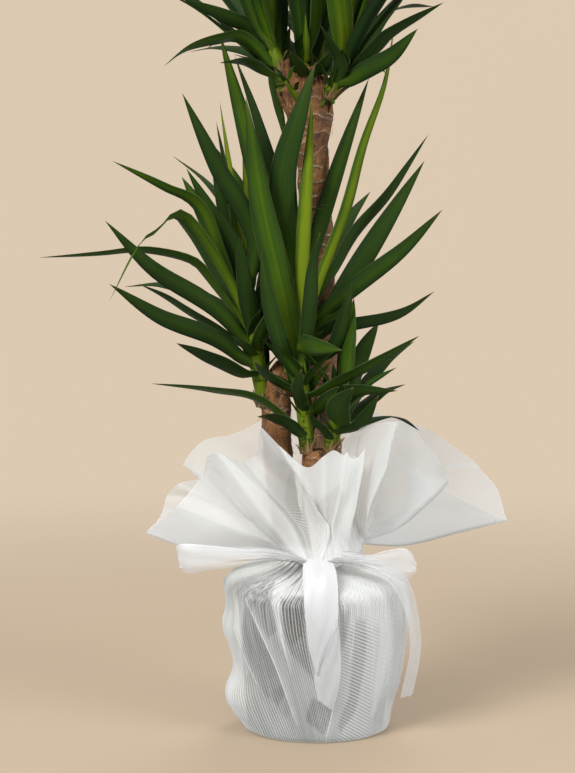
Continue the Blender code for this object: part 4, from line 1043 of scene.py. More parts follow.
class Surface:
    """Points, faces and values at the points, gathered for one mesh."""

    def __init__(self):
        self.points, self.faces, self.values, self.count = [], [], {}, 0

    def add(self, points, faces, **values):
        points = np.asarray(points, float).reshape(-1, 3)
        self.points.append(points)
        self.faces += [tuple(corner + self.count for corner in face) for face in faces]
        for name, value in values.items():
            value = np.asarray(value, float)
            if value.ndim == 0:
                value = np.full(len(points), value)
            self.values.setdefault(name, []).append(value)
        self.count += len(points)

    def make(self, name, made_of, slot, nodes):
        """One piece of the object, which rides on its only body and stands for the nodes."""
        mesh = bpy.data.meshes.new(name)
        mesh.from_pydata(np.concatenate(self.points).tolist(), [], self.faces)
        for title, parts in self.values.items():
            data = np.concatenate(parts)
            flat = data.ndim == 1
            attribute = mesh.attributes.new(title, "FLOAT" if flat else "FLOAT_VECTOR", "POINT")
            attribute.data.foreach_set("value" if flat else "vector", data.ravel())
        mesh.shade_smooth()
        mesh.materials.append(made_of)
        piece = bpy.data.objects.new(name, mesh)
        bpy.context.scene.collection.objects.link(piece)
        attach(piece, "root")
        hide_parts(*nodes)
        return piece


# Noise


def lattice(i, j, k, seed):
    """A fixed value from -1 to 1 for each whole-numbered point."""
    mixed = (i * 374761393 + j * 668265263 + k * 974634777 + seed * 1442695041) & 0xFFFFFFFF
    mixed = ((mixed ^ (mixed >> 13)) * 1274126177) & 0xFFFFFFFF
    return ((mixed ^ (mixed >> 16)) & 0xFFFF) / 32767.5 - 1


def noise(points, scale, seed=0):
    """Smooth noise from -1 to 1 at each of the points. The scale may differ by axis."""
    at = np.asarray(points, float) * scale
    cell = np.floor(at).astype(np.int64)
    part = eased(at - cell)
    total = np.zeros(len(at))
    for corner in np.ndindex(2, 2, 2):
        weight = np.prod([part[:, a] if corner[a] else 1 - part[:, a] for a in range(3)], axis=0)
        total += weight * lattice(*(cell[:, a] + corner[a] for a in range(3)), seed)
    return total


def roughness(points, layers):
    """Noise in metres from layers of a scale, a seed and a size each."""
    return sum(noise(points, scale, seed) * size for scale, seed, size in layers)


# Materials


class Finish:
    """A material, and a short way to write its nodes. Each call gives the new node's output."""

    def __init__(self, name):
        self.material = bpy.data.materials.new(name)
        self.material.use_nodes = True
        self.nodes = self.material.node_tree.nodes
        self.nodes.clear()

    def add(self, kind, inputs=(), output=0, **settings):
        node = self.nodes.new("ShaderNode" + kind)
        for key, value in settings.items():
            setattr(node, key, value)
        for key, value in dict(inputs).items():
            if isinstance(value, bpy.types.NodeSocket):
                self.material.node_tree.links.new(value, node.inputs[key])
            else:
                node.inputs[key].default_value = value
        return node.outputs[output]

    def value(self, name):
        return self.add("Attribute", output="Fac", attribute_name=name)

    def vector(self, name):
        return self.add("Attribute", output="Vector", attribute_name=name)

    def place(self):
        return self.add("TexCoord", output="Object")

    def grain(self, vector, scale, detail=3.0, roughness=0.55, stretch=None):
        """Noise over a vector, drawn out by its three factors of stretch."""
        if stretch:
            vector = self.add("Mapping", {"Vector": vector, "Scale": stretch})
        inputs = {"Vector": vector, "Scale": scale, "Detail": detail, "Roughness": roughness}
        return self.add("TexNoise", inputs)

    def math(self, operation, a, b=0.0, clamp=False):
        return self.add("Math", {0: a, 1: b}, operation=operation, use_clamp=clamp)

    def plus(self, a, *others):
        for b in others:
            a = self.math("ADD", a, b)
        return a

    def minus(self, a, b):
        return self.math("SUBTRACT", a, b)

    def times(self, a, b, clamp=False):
        return self.math("MULTIPLY", a, b, clamp)

    def most(self, a, b, clamp=False):
        return self.math("MAXIMUM", a, b, clamp)

    def size(self, a):
        return self.math("ABSOLUTE", a)

    def spread(self, a, amount, middle=0.5):
        """How far a lies from a middle value, times this amount."""
        return self.times(self.minus(a, middle), amount)

    def step(self, value, low, high, to_low=0.0, to_high=1.0):
        inputs = {"Value": value, "From Min": low, "From Max": high, "To Min": to_low, "To Max": to_high}
        return self.add("MapRange", inputs, interpolation_type="SMOOTHSTEP")

    def ramp(self, value, stops):
        output = self.add("ValToRGB", {"Fac": value})
        elements = output.node.color_ramp.elements
        while len(elements) < len(stops):
            elements.new(0.5)
        for element, (place, colour) in zip(elements, stops):
            element.position = place
            element.color = (*colour, 1)
        return output

    def mix(self, share, a, b):
        """Colour a, turned into b by this share. A colour may be a tuple of three."""
        a, b = ((*c, 1) if isinstance(c, tuple) else c for c in (a, b))
        return self.add("Mix", {0: share, 6: a, 7: b}, output=2, data_type="RGBA")

    def bump(self, height, strength, distance):
        return self.add("Bump", {"Height": height, "Strength": strength, "Distance": distance})

    def principled(self, colour, roughness, **more):
        colour = (*colour, 1) if isinstance(colour, tuple) else colour
        inputs = {key.replace("_", " "): value for key, value in more.items()}
        return self.add("BsdfPrincipled", {"Base Color": colour, "Roughness": roughness, **inputs})

    def glow(self, colour):
        return self.add("Emission", {"Color": colour, "Strength": 1.0})

    def blend(self, share, a, b):
        """Shader a, turned into b by this share."""
        return self.add("MixShader", {0: share, 1: a, 2: b})

    def lit_through(self, share, surface, colour):
        """A surface of which this share lets light through to its other side."""
        return self.blend(share, surface, self.add("BsdfTranslucent", {"Color": colour}))

    def done(self, shader):
        output = self.nodes.new("ShaderNodeOutputMaterial")
        self.material.node_tree.links.new(shader, output.inputs["Surface"])
        return self.material


def leaf_finish():
    """Leaf green by the leaf's tone, pale at the clasping root, with veins, light margins and dry tips, a
    painted highlight down the middle, painted shade towards the sides and one half painted lighter.
    """
    f = Finish("leaf")
    blade = f.vector("blade")
    patches = f.grain(f.place(), 16.0, 2.0)
    veins = f.grain(blade, 1.0, 2.0, stretch=(900.0, 9.0, 1.0))
    broad = f.grain(blade, 1.0, 1.0, stretch=(190.0, 3.0, 1.0))
    share, across = f.value("share"), f.value("edge")
    edge = f.size(across)
    tone = f.plus(f.value("tone"), f.spread(patches, 0.30), f.spread(broad, 0.34), f.spread(veins, 0.16))
    tone = f.plus(tone, f.step(share, 0.0, 0.5, 0.20, -0.03))
    # painted light: one half of each blade is painted lighter than the other
    tone = f.minus(tone, f.times(across, 0.07))
    # painted highlight down the blade's middle, and painted shade towards its sides
    tone = f.plus(tone, f.step(edge, 0.05, 0.80, 0.08, -0.06))
    green = f.ramp(tone, LEAF_GREENS)
    green = f.mix(f.value("upper"), f.mix(0.4, green, LEAF_BENEATH), green)
    green = f.mix(f.step(share, 0.0, 0.14, 0.75, 0.0), green, LEAF_ROOT)
    # painted shade with a bluish sheen towards the sides
    green = f.mix(f.step(edge, 0.35, 0.95, 0.0, 0.35), green, LEAF_SIDE_PAINTED_SHADE)
    green = f.mix(f.step(edge, 0.90, 1.0, 0.0, 0.45), green, LEAF_MARGIN)
    dry = f.times(f.value("dry"), f.plus(f.times(veins, 0.6), 0.7), clamp=True)
    green = f.mix(dry, green, f.mix(veins, *DRY_BROWNS))
    normal = f.bump(f.plus(f.times(veins, 0.6), broad), 0.35, 0.0006)
    roughness = f.step(patches, 0.3, 0.7, 0.36, 0.50)
    surface = f.principled(green, roughness, Normal=normal, Specular_IOR_Level=0.05)
    return f.done(f.lit_through(0.14, surface, f.mix(0.5, green, LEAF_LIT_THROUGH)))


def bark_finish():
    """Brown bark: pale scar lines, dark cracks, tan fibres, greyer and paler low down."""
    f = Finish("bark")
    place = f.place()
    coarse = f.grain(place, 52.0, 4.0, 0.72)
    fine = f.grain(place, 420.0, 3.0, 0.7)
    strands = f.grain(place, 520.0, 2.0, stretch=(1.0, 1.0, 0.16))
    brown = f.ramp(coarse, BARK_BROWNS)
    brown = f.mix(f.value("orange"), brown, f.mix(f.times(strands, 0.75), brown, BARK_RED))
    brown = f.mix(f.times(f.value("pale"), 0.6), brown, BARK_PALE)
    brown = f.mix(f.step(fine, 0.58, 0.74, 0.0, 0.65), brown, BARK_LIGHT_GRAIN)
    brown = f.mix(f.step(fine, 0.44, 0.26, 0.0, 0.60), brown, BARK_DARK_GRAIN)
    brown = f.mix(f.value("crack"), brown, BARK_CRACK)
    brown = f.mix(f.value("scar"), brown, BARK_SCAR)
    brown = f.mix(f.value("fibre"), brown, f.mix(strands, *FIBRE_TANS))
    height = f.plus(f.times(coarse, 0.8), f.times(fine, 0.5), f.times(strands, 0.4))
    roughness = f.step(coarse, 0.3, 0.7, 0.72, 0.92)
    return f.done(f.principled(brown, roughness, Normal=f.bump(height, 1.0, 0.0026)))


def pot_finish():
    """Dark taupe moulded plastic with a fine grain and dusty scuffs."""
    f = Finish("pot_plastic")
    place = f.place()
    dust = f.grain(place, 26.0, 4.0)
    normal = f.bump(f.grain(place, 900.0, 2.0), 0.2, 0.0003)
    colour = f.mix(f.step(dust, 0.45, 0.75, 0.0, 0.35), POT_TAUPE, POT_DUST)
    return f.done(f.principled(colour, f.step(dust, 0.3, 0.7, 0.42, 0.62), Normal=normal))


def soil_finish():
    """Damp potting mix: dark crumbs, lighter bark chips and a few white grains."""
    f = Finish("potting_soil")
    place = f.place()
    crumbs = f.grain(place, 260.0, 4.0, 0.7)
    damp = f.grain(place, 22.0, 2.0)
    colour = f.mix(f.step(damp, 0.4, 0.7, 0.0, 0.4), f.ramp(crumbs, SOIL_BROWNS), SOIL_DAMP)
    colour = f.mix(f.value("chip"), colour, CHIP_BROWN)
    colour = f.mix(f.value("grit"), colour, GRIT_WHITE)
    return f.done(f.principled(colour, 0.92, Normal=f.bump(crumbs, 0.9, 0.002)))


def thread(f, place, spacing, thinness=3.4, wander=0.0):
    """1 on a thread and 0 between threads, which follow each other at this spacing."""
    turns = f.plus(f.times(place, 1 / spacing), wander)
    wave = f.math("SINE", f.times(turns, math.tau))
    return f.math("POWER", f.plus(f.times(wave, 0.5), 0.5), thinness)


def net_lines(f, weave, warp, weft):
    """The thread lines along the net and across it, and faint ones on two slants."""
    x, y, _ = (f.add("SeparateXYZ", {0: weave}, output=axis) for axis in range(3))
    wander = f.times(f.grain(weave, 5.0, 1.0), 1.2)
    patches = f.grain(weave, 16.0, 1.0, stretch=(1.0, 0.4, 1.0))
    warp = f.times(warp, f.step(patches, 0.32, 0.62, 0.45, 1.0))
    second = thread(f, f.plus(x, f.times(y, SECOND_SLANT)), SECOND_SPACING)
    second = f.times(second, f.times(warp, f.step(patches, 0.45, 0.65, 0.0, 0.30)))
    across = thread(f, f.plus(y, f.times(x, WEFT_SLANT)), WEFT_SPACING, 5.5, wander)
    cross = thread(f, f.minus(y, f.times(x, CROSS_SLANT)), CROSS_SPACING)
    lines = f.times(thread(f, x, WARP_SPACING, wander=wander), warp)
    lines = f.most(f.most(lines, second), f.times(across, weft))
    return f.most(lines, f.times(cross, f.times(weft, 0.30)))


def net_finish():
    """White tulle: see-through between its threads, denser where the value cover is high."""
    f = Finish("net")
    weave, warp, weft, away = f.vector("weave"), f.value("warp"), f.value("weft"), f.value("away")
    fuzz = f.spread(f.grain(f.place(), 900.0, 2.0), 0.16)
    streaks = f.spread(f.grain(weave, 1.0, 2.0, stretch=(270.0, 11.0, 1.0)), f.times(warp, 0.30))
    lines = f.spread(net_lines(f, weave, warp, weft), f.times(f.most(warp, weft), LINE_CONTRAST), 0.30)
    ribbing = f.spread(thread(f, away, RIBBING_SPACING), f.step(away, 0.010, 0.030, 0.13, 0.0), 0.3)
    cover = f.plus(f.value("cover"), fuzz, streaks, lines, f.times(ribbing, f.value("loose")))
    rim = f.step(f.value("rim"), *RIM_FADE, 0.92, 0.0)
    fold = f.step(f.size(f.value("crease")), *FOLD_FADE, 0.90, 0.0)
    fold = f.times(fold, f.step(away, 0.003, 0.005, 1.0, 0.0))
    cover = f.most(cover, f.most(rim, fold), clamp=True)
    colour = f.mix(f.grain(f.place(), 12.0, 1.0), *NET_WHITES)
    # painted shade: the value shade greys the ruff, most of all at its rear
    colour = f.mix(f.value("shade"), colour, NET_SHADE)
    normal = f.bump(fold, 0.15, 0.0004)
    cloth = f.principled(colour, 0.62, Normal=normal, Sheen_Weight=0.25, Sheen_Roughness=0.4)
    cloth = f.lit_through(f.step(f.value("loose"), 0.0, 1.0, 0.20, 0.34), cloth, NET_LIT_THROUGH)
    return f.done(f.blend(cover, f.add("BsdfTransparent"), cloth))


def ribbon_finish():
    """Sheer white satin: bright across its width, with closed edges and fine lengthwise threads."""
    f = Finish("ribbon")
    threads = f.grain(f.vector("weave"), 1.0, 2.0, stretch=(1400.0, 30.0, 1.0))
    edge = f.step(f.size(f.value("edge")), 0.88, 0.97, 0.0, 0.84)
    cover = f.most(f.plus(f.value("cover"), f.spread(threads, 0.22)), edge, clamp=True)
    normal = f.bump(threads, 0.25, 0.0004)
    satin = f.principled(SATIN_WHITE, 0.38, Normal=normal, Sheen_Weight=0.2, Specular_IOR_Level=0.5)
    satin = f.lit_through(0.25, satin, SATIN_LIT_THROUGH)
    return f.done(f.blend(cover, f.add("BsdfTransparent"), satin))


def floor_finish():
    """A pale warm floor that turns into the backdrop's own light further out."""
    f = Finish("pale_floor")
    place = f.place()
    away = f.add("VectorMath", {0: place}, output="Value", operation="LENGTH")
    matt = f.principled(f.mix(f.grain(place, 3.0, 2.0), *FLOOR_COLOURS), 0.8)
    glow = f.glow((*[FLOOR_GLOW * c for c in BACKDROP], 1))
    return f.done(f.blend(f.step(away, *FLOOR_FADE), matt, glow))


# Leaves


def fine_width(share, slimmer):
    """The solids' width, but broad at the root, where the blade clasps its stem."""
    clasp = max(0.0, 1 - share / (1.6 * CLASP_SHARE))
    return slimmer * leaf_width(share) + (CLASP_WIDTH - leaf_width(0)) * clasp * clasp


def clasped_stem(leaf):
    """What a leaf's root clasps: the stem's direction, its radius there and the share of the leaf."""
    foot, top = stem_line(leaf.shoot)
    upward = (top - foot).normalized()
    place = (leaf.points[0] - foot).dot(upward) / (top - foot).length
    radius = SHOOTS[leaf.shoot][1] * CM * stem_swell(place)
    return upward, radius, min(max(HELD_LENGTH / leaf.length, LEAST_HELD), MOST_HELD)


def clasping_line(leaf, upward, held):
    """A leaf's middle line, its root led up along the stem."""
    line = smooth_line(leaf.points, BLADE_SPANS + 1)
    for k in range(1, BLADE_SPANS):
        share = k / BLADE_SPANS
        line[k] = (line[0] + upward * share * leaf.length).lerp(line[k], eased(min(share / held, 1)))
    return line


def edge_waves(share, u, waves, phases):
    """How far soft waves lift a blade's two edges at this share of its length."""
    fading = EDGE_WAVE * min(1, share * 4) * (1 - share)
    for sign, phase in zip((-1, 1), phases):
        yield math.sin(share * waves * math.tau + phase) * fading * np.clip(u * sign, 0, 1) ** 2


def fine_blade(surface, leaf, number):
    """A leaf with a channel, a clasping root, soft edge waves and a sharp tip."""
    rng = random.Random(number)
    phases = [rng.uniform(0, math.tau) for _ in range(2)]
    waves = rng.uniform(2.0, 3.5)
    slimmer = YOUNG_SLIMMER if leaf.tone > YOUNG_TONE else SLIMMER
    narrowing = 0.5 if YOUNG_TONE - 0.1 < leaf.tone < YOUNG_TONE else 0.0
    half = np.linspace(-1, 1, ACROSS_SPANS + 1)
    u = np.concatenate([half, half[-2:0:-1]])
    above = np.concatenate([np.ones(ACROSS_SPANS + 1), np.zeros(ACROSS_SPANS - 1)])
    upward, own_radius, held = clasped_stem(leaf)
    line = clasping_line(leaf, upward, held)
    rows, offsets = [], []
    shares = np.arange(BLADE_SPANS) / BLADE_SPANS
    for share, centre, course in zip(shares.tolist(), line, tangents(line)):
        clasp = max(0.0, 1 - share / held)
        radius = own_radius * (0.90 + 0.20 * min(share / (0.6 * held), 1))
        along = course.lerp(upward, 0.8 * clasp).normalized()
        side = square_part(leaf.across, along)
        up = side.cross(along)
        reach = leaf.width * fine_width(share, slimmer) * (1 - narrowing * share) / 2
        out = u * math.cos(half_fold(share)) * reach
        rise = (np.sqrt(u * u + CHANNEL) - CHANNEL_ROOT) * math.sin(half_fold(share)) * reach
        turn = np.clip(u * reach / radius, -MOST_TURN, MOST_TURN)
        out = out * (1 - clasp) + np.sin(turn) * radius * clasp
        rise = rise * (1 - clasp) + (1 - np.cos(turn)) * radius * clasp - radius * clasp
        rise = rise + sum(edge_waves(share, u, waves, phases))
        thick = BLADE_THICKNESS * (1.2 - 0.8 * share) * np.sqrt(np.clip(1 - u * u, 0, 1))
        rise = rise + thick * (above - 0.5)
        rows.append(np.outer(out, side) + np.outer(rise, up) + np.array(centre))
        offset = (share * leaf.length, number * LEAF_SHIFT)
        offsets.append(np.column_stack([u * reach, np.tile(offset, (len(u), 1))]))
    n, last = len(u), (BLADE_SPANS - 1) * len(u)
    # Turned so that each face looks out of the blade
    faces = [face[::-1] for face in grid_faces(BLADE_SPANS, n, closed=True)]
    faces += [(last + (j + 1) % n, last + j, last + n) for j in range(n)]
    faces += [(i, i + 1, (n - i - 1) % n, (n - i) % n) for i in range(ACROSS_SPANS)]
    share = np.append(np.repeat(shares, n), 1.0)
    surface.add(
        np.concatenate([*rows, [line[-1]]]), faces,
        tone=leaf.tone, share=share, edge=np.append(np.tile(u, BLADE_SPANS), 0.0),
        blade=np.concatenate([*offsets, [[0, leaf.length, number * LEAF_SHIFT]]]),
        upper=np.append(np.tile(above, BLADE_SPANS), 1.0), dry=rng.choice(TIP_DRYNESS) * share**40,
    )


def stem_swell(share):
    """A stem's radius at this share of its height, as a share of its greatest."""
    return float(np.interp(share * (len(STEM_SWELL) - 1), range(len(STEM_SWELL)), STEM_SWELL))


def round_the_stem(sides, angle):
    """The direction out of a stem at this angle, from two directions square to it."""
    return sides[0] * math.cos(angle) + sides[1] * math.sin(angle)


def fine_stem(surface, shoot):
    """The shoot's stem: ridged by the roots of old leaves, pale, and brown and scaly at its foot."""
    foot, top = stem_line(shoot)
    foot = foot.lerp(top, HIDDEN_FEET.get(shoot, 0.0))
    radius = SHOOTS[shoot][1] * CM
    angles = ring_angles(STEM_COLUMNS)
    sides = square_to(top - foot)
    rings, dry = [], []
    for share in (k / (STEM_ROWS - 1) for k in range(STEM_ROWS)):
        own = radius * stem_swell(share) * (0.74 + 0.26 * min(share * 2.4, 1))
        own *= math.sqrt(min(0.4 + share * 7, 1))
        ridge = 1 + 0.045 * np.sin(angles * 5 + 5 * share) + 0.02 * np.sin(angles * 11 - 4 * share)
        ring = np.outer(np.cos(angles), sides[0]) + np.outer(np.sin(angles), sides[1])
        rings.append(ring * (own * ridge)[:, None] + np.array(foot.lerp(top, share)))
        dry.append(np.full(STEM_COLUMNS, max(0.0, 1 - share / 0.10) * 0.8))
    points = np.concatenate(rings)
    surface.add(
        points, closed_faces(STEM_ROWS, STEM_COLUMNS),
        tone=0.62, share=0.03, edge=0.0, blade=points, upper=1.0, dry=np.concatenate(dry),
    )
    if radius > COLLAR_LEAST_RADIUS:
        for number in range(COLLAR_SCALES):
            collar_scale(surface, foot, (top - foot).normalized(), sides, radius, number)


def square_to(course):
    """Two directions square to a course and to each other, right-handed with it."""
    across = Vector((0, 1, 0)).cross(course).normalized()
    return across, course.normalized().cross(across)


def collar_scale(surface, foot, up, sides, radius, number):
    """A small dry scale at a shoot's foot: what is left of an old leaf."""
    rng = random.Random(number)
    out = round_the_stem(sides, number * math.radians(GOLDEN_ANGLE))
    beside = up.cross(out)
    length, width = rng.uniform(*SCALE_LENGTHS), rng.uniform(*SCALE_WIDTHS)
    lean = rng.uniform(0.05, 0.75)
    root = foot + out * radius * 0.94 + up * rng.uniform(0.002, 0.014)
    rows = []
    for share in QUARTERS:
        centre = root + up * length * share + out * (length * lean * share**2 + 0.0006)
        reach = beside * width / 2 * (1 - share**1.5)
        curl, thick = out * 0.001 * (1 - share), out * 0.0014
        rows += [centre - reach - curl, centre, centre + reach - curl]
        rows += [centre + reach - thick, centre - out * 0.0008, centre - reach - thick]
    dry = rng.uniform(0.55, 1.0)
    surface.add(
        rows, closed_faces(5, 6), tone=0.5, share=0.5, edge=0.0, blade=np.array(rows), upper=1.0, dry=dry
    )


def sheaths(shoot):
    """Short broad leaves that wrap a stem from its foot and flare at their tips."""
    foot, top = stem_line(shoot)
    up = (top - foot).normalized()
    sides = square_to(top - foot)
    rng = random.Random(shoot + "sheaths")
    for number in range(SHEATHS.get(shoot, 0)):
        angle = math.radians(number * GOLDEN_ANGLE + SHEATH_TURN) + rng.uniform(-0.3, 0.3)
        out = round_the_stem(sides, angle)
        root = foot.lerp(top, 0.03 + 0.55 * number / SHEATHS[shoot])
        length = rng.uniform(*SHEATH_LENGTHS)
        flare = out * length * rng.uniform(0.45, 0.95)
        points = [root + up * length * share + flare * share**2.2 for share in (0.0, 0.35, 0.7, 1.0)]
        yield Leaf(shoot, points, out.cross(up), rng.uniform(*SHEATH_WIDTHS), rng.uniform(*SHEATH_TONES))


def build_leaves():
    """One piece for each shoot: its stem and all its leaves."""
    finish = leaf_finish()
    net, ribbon = (tree_of_node(name) for name in ("net_wrap", "ribbon"))
    leaves = place_leaves([net, ribbon])
    for shoot in SHOOTS:
        surface = Surface()
        fine_stem(surface, shoot)
        for number, leaf in enumerate(leaves):
            if leaf.shoot == shoot:
                fine_blade(surface, leaf, number)
        for number, sheath in enumerate(sheaths(shoot)):
            fine_blade(surface, sheath, FIRST_SHEATH + number)
        surface.make(shoot.replace("shoot", "leaves"), finish, "leaf", [shoot])


def tree_of_node(name):
    mesh = frame["nodes"][name].data
    return BVHTree.FromPolygons([v.co for v in mesh.vertices], [p.vertices for p in mesh.polygons])


# Bark


def crown_parts(name):
    """What rises over a solid's cane to where the shoots begin: a widened top or a side branch."""
    for line, widths in CANE_TOPS[name]:
        fine = smooth_line([front_view(x, z, depth) for x, depth, z in line], CROWN_ROWS)
        radii = np.interp(np.linspace(0, len(widths) - 1, CROWN_ROWS), range(len(widths)), widths)
        yield tube(fine, [float(radius) * CM for radius in radii], BARK_SIDES)


def bark_body(name):
    """The cane's tube, and for the tall one its side branch, fused and finely meshed."""
    surface = Surface()
    for points, faces in (*cane_parts(name, sides=BARK_SIDES), *crown_parts(name)):
        surface.add(points, faces)
    mesh = bpy.data.meshes.new(name + "_core")
    mesh.from_pydata(np.concatenate(surface.points).tolist(), [], surface.faces)
    core = bpy.data.objects.new(name + "_core", mesh)
    bpy.context.scene.collection.objects.link(core)
    remesh = core.modifiers.new("remesh", "REMESH")
    remesh.mode = "VOXEL"
    remesh.voxel_size = BARK_VOXEL
    made = bpy.data.meshes.new_from_object(core.evaluated_get(bpy.context.evaluated_depsgraph_get()))
    bpy.data.objects.remove(core)
    points, normals = np.empty((2, len(made.vertices) * 3))
    made.vertices.foreach_get("co", points)
    made.vertex_normals.foreach_get("vector", normals)
    faces = [tuple(polygon.vertices) for polygon in made.polygons]
    return points.reshape(-1, 3), normals.reshape(-1, 3), faces


def scar_pattern(name, heights, angles):
    """How much of a pale scar line, and of the dark groove under it, is at each point."""
    rng = random.Random(name + "scars")
    line, groove = np.zeros((2, len(heights)))
    at = heights.min()
    while at < heights.max():
        middle, spread = rng.uniform(-math.pi, math.pi), rng.uniform(0.5, 1.9)
        tilt, phase = rng.uniform(0.001, 0.011), rng.uniform(-math.pi, math.pi)
        wobble = 0.0012 * np.sin(angles * 5 + phase * 3) + 0.0006 * np.sin(angles * 11 + phase)
        away = heights - at - tilt * np.sin(angles - phase) - wobble
        turn = np.abs((angles - middle + math.pi) % math.tau - math.pi)
        here = ramp(turn, spread, -0.35)
        thin = rng.uniform(0.0006, 0.0013)
        line = np.maximum(line, hump(away, 0, thin) * here * rng.uniform(0.5, 1.0))
        groove = np.maximum(groove, hump(away, -0.0022, 0.0013) * here)
        at += SCAR_STEP * rng.uniform(0.45, 1.6)
    return line, groove


def bark_fibre(surface, root, normal, rng):
    """A thin torn strand that lies along the bark and lifts off at its end."""
    beside = normal.cross(Vector((rng.uniform(-0.4, 0.4), rng.uniform(-0.4, 0.4), 1))).normalized()
    upright = beside.cross(normal)
    course = (beside * rng.uniform(-1, 1) + upright * rng.uniform(-1.2, 0.8)).normalized()
    turn = beside * rng.uniform(-0.5, 0.5)
    length, lift = rng.uniform(*FIBRE_LENGTHS), rng.uniform(0.0, 0.28)
    wide = rng.uniform(*FIBRE_WIDTHS)
    rows = []
    for share in QUARTERS:
        centre = root + course * length * share + turn * length * share**2
        centre = centre + normal * (0.0004 + length * lift * share**2)
        flat = course.cross(normal).normalized() * wide * (1 - 0.75 * share)
        rows += [centre - flat, centre + normal * wide * 0.6, centre + flat]
    fibre = rng.uniform(0.35, 1.0)
    surface.add(rows, closed_faces(5, 3), scar=0.0, crack=0.0, pale=0.0, orange=0.0, fibre=fibre)


def rough_bark(name, points, normals):
    """The bark's points pushed out and in by lumps, scars, flakes and furrows, with its values."""
    radius, course = CANES[name]
    course = np.array(course) * CM
    z = points[:, 2]
    x, y = (points[:, a] - np.interp(z, course[:, 2], course[:, a]) for a in range(2))
    branch = np.clip((np.hypot(x, y) / (radius * CM) - 1.5) * 4, 0, 1) * (x < 0)
    tall = name == "cane_tall"
    crown = np.clip((z - CROWN_FOOT) * 40, 0, 1) * tall
    line, groove = (
        part * (1 - branch) * (1 - 0.6 * crown) for part in scar_pattern(name, z, np.arctan2(y, x))
    )
    flakes = np.clip(noise(points, (260.0, 260.0, 120.0), 3) - 0.25, 0, 1)
    furrows = np.clip(noise(points, (330.0, 330.0, 34.0), 4) - 0.30, 0, 1)
    furrows = furrows * (0.35 + 0.65 * np.maximum(branch, z > z.max() - 0.05)) * (1 + 0.8 * crown)
    depth = roughness(points, BARK_LUMPS) + line * SCAR_RISE - groove * GROOVE_DEPTH
    depth = depth + flakes * FLAKE_RISE - furrows * FURROW_DEPTH
    points = points + normals * depth[:, None]
    heights = (points[:, 2] - points[:, 2].min()) / np.ptp(points[:, 2])
    orange = ORANGE_BARK[name] + 0.6 * np.maximum(branch, crown)
    return points, {
        "scar": np.clip(line * (0.55 + 0.6 * noise(points, 300.0, 6)), 0, 1),
        "crack": np.clip(groove * 0.60 + furrows * 3.0, 0, 0.9),
        "pale": np.clip(1.15 - heights * 1.5, 0, 1) * tall,
        "orange": np.clip(orange + 0.35 * noise(points, 30.0, 7), 0, 1),
        "fibre": 0.0,
    }


def build_bark():
    finish = bark_finish()
    for name in CANES:
        points, normals, faces = bark_body(name)
        points, values = rough_bark(name, points, normals)
        surface = Surface()
        surface.add(points, faces, **values)
        rng = random.Random(name + "fibres")
        for _ in range(FIBRES[name]):
            place = rng.randrange(len(points))
            bark_fibre(surface, Vector(points[place]), Vector(normals[place]), rng)
        surface.make(name.replace("cane", "bark"), finish, "cane", [name])


# Pot and soil


def pot_radius(height):
    """The pot's outer radius at a height from the ground."""
    share = (height - NET_THICKNESS) / POT_HEIGHT
    return POT_FOOT_RADIUS + (POT_RIM_RADIUS - POT_FOOT_RADIUS) * share


def build_pot():
    """The pot as a surface of revolution, up its outside, over its lip and down its inside."""
    foot = NET_THICKNESS + GAP
    top = foot + POT_HEIGHT
    lip, floor = top - POT_LIP_HEIGHT, foot + POT_WALL
    edge = POT_RIM_RADIUS + POT_LIP_WIDTH - POT_WALL
    inside = pot_radius(top) - POT_WALL
    soft = POT_ROUNDING
    heights = [foot + t * (lip - foot) for t in np.linspace(0.02, 1, 14)]
    profile = [
        (MIDDLE_DRAIN_RADIUS, foot),
        (POT_FOOT_RADIUS - 3 * soft, foot), (POT_FOOT_RADIUS - soft, foot + soft),
        *((pot_radius(height), height) for height in heights),
        (edge - soft, lip), (edge, lip + soft), (edge, top - soft), (edge - soft, top),
        (inside + soft, top), (inside, top - soft), (pot_radius(floor) - POT_WALL, floor),
        (MIDDLE_DRAIN_RADIUS, floor), (MIDDLE_DRAIN_RADIUS, foot),
    ]
    angles = ring_angles(POT_COLUMNS)
    surface = Surface()
    points = np.concatenate([ring_points(angles, radius, height) for radius, height in profile])
    surface.add(points, grid_faces(len(profile), POT_COLUMNS, closed=True))
    surface.make("nursery_pot", pot_finish(), "pot", ["pot"])


def build_soil():
    """Crumbly soil that fills the pot, with chips and grit lying on it."""
    radius = pot_radius(SOIL_TOP) - POT_WALL - 4 * GAP
    foot = NET_THICKNESS + GAP + POT_WALL + GAP
    angles = ring_angles(SOIL_COLUMNS)
    rings = [ring_points(angles, pot_radius(foot) - POT_WALL - 3 * GAP, foot)]
    for k in range(SOIL_ROWS):
        own = radius * (1 - k / (SOIL_ROWS - 1)) + 0.0008
        ring = ring_points(angles, own, SOIL_TOP - SOIL_SHOULDER)
        ring[:, 2] += (SOIL_SHOULDER + roughness(ring, SOIL_LUMPS)) * min(1.0, k / 3)
        rings.append(ring)
    faces = grid_faces(len(rings), SOIL_COLUMNS, closed=True) + [tuple(reversed(range(SOIL_COLUMNS)))]
    surface = Surface()
    surface.add(np.concatenate(rings), faces, chip=0.0, grit=0.0)
    rng = random.Random(SEED)
    for _ in range(CRUMBS):
        angle, own = rng.uniform(0, math.tau), radius * math.sqrt(rng.random()) * 0.96
        size = rng.uniform(*CRUMB_SIZES)
        centre = Vector((math.cos(angle) * own, math.sin(angle) * own, SOIL_TOP + size * 0.2))
        if rng.random() < GRIT_SHARE:
            crumb(surface, centre, size * 0.6, rng, chip=0.0, grit=1.0)
        else:
            crumb(surface, centre, size, rng, chip=rng.random(), grit=0.0)
    surface.make("potting_soil", soil_finish(), "soil", ["soil"])


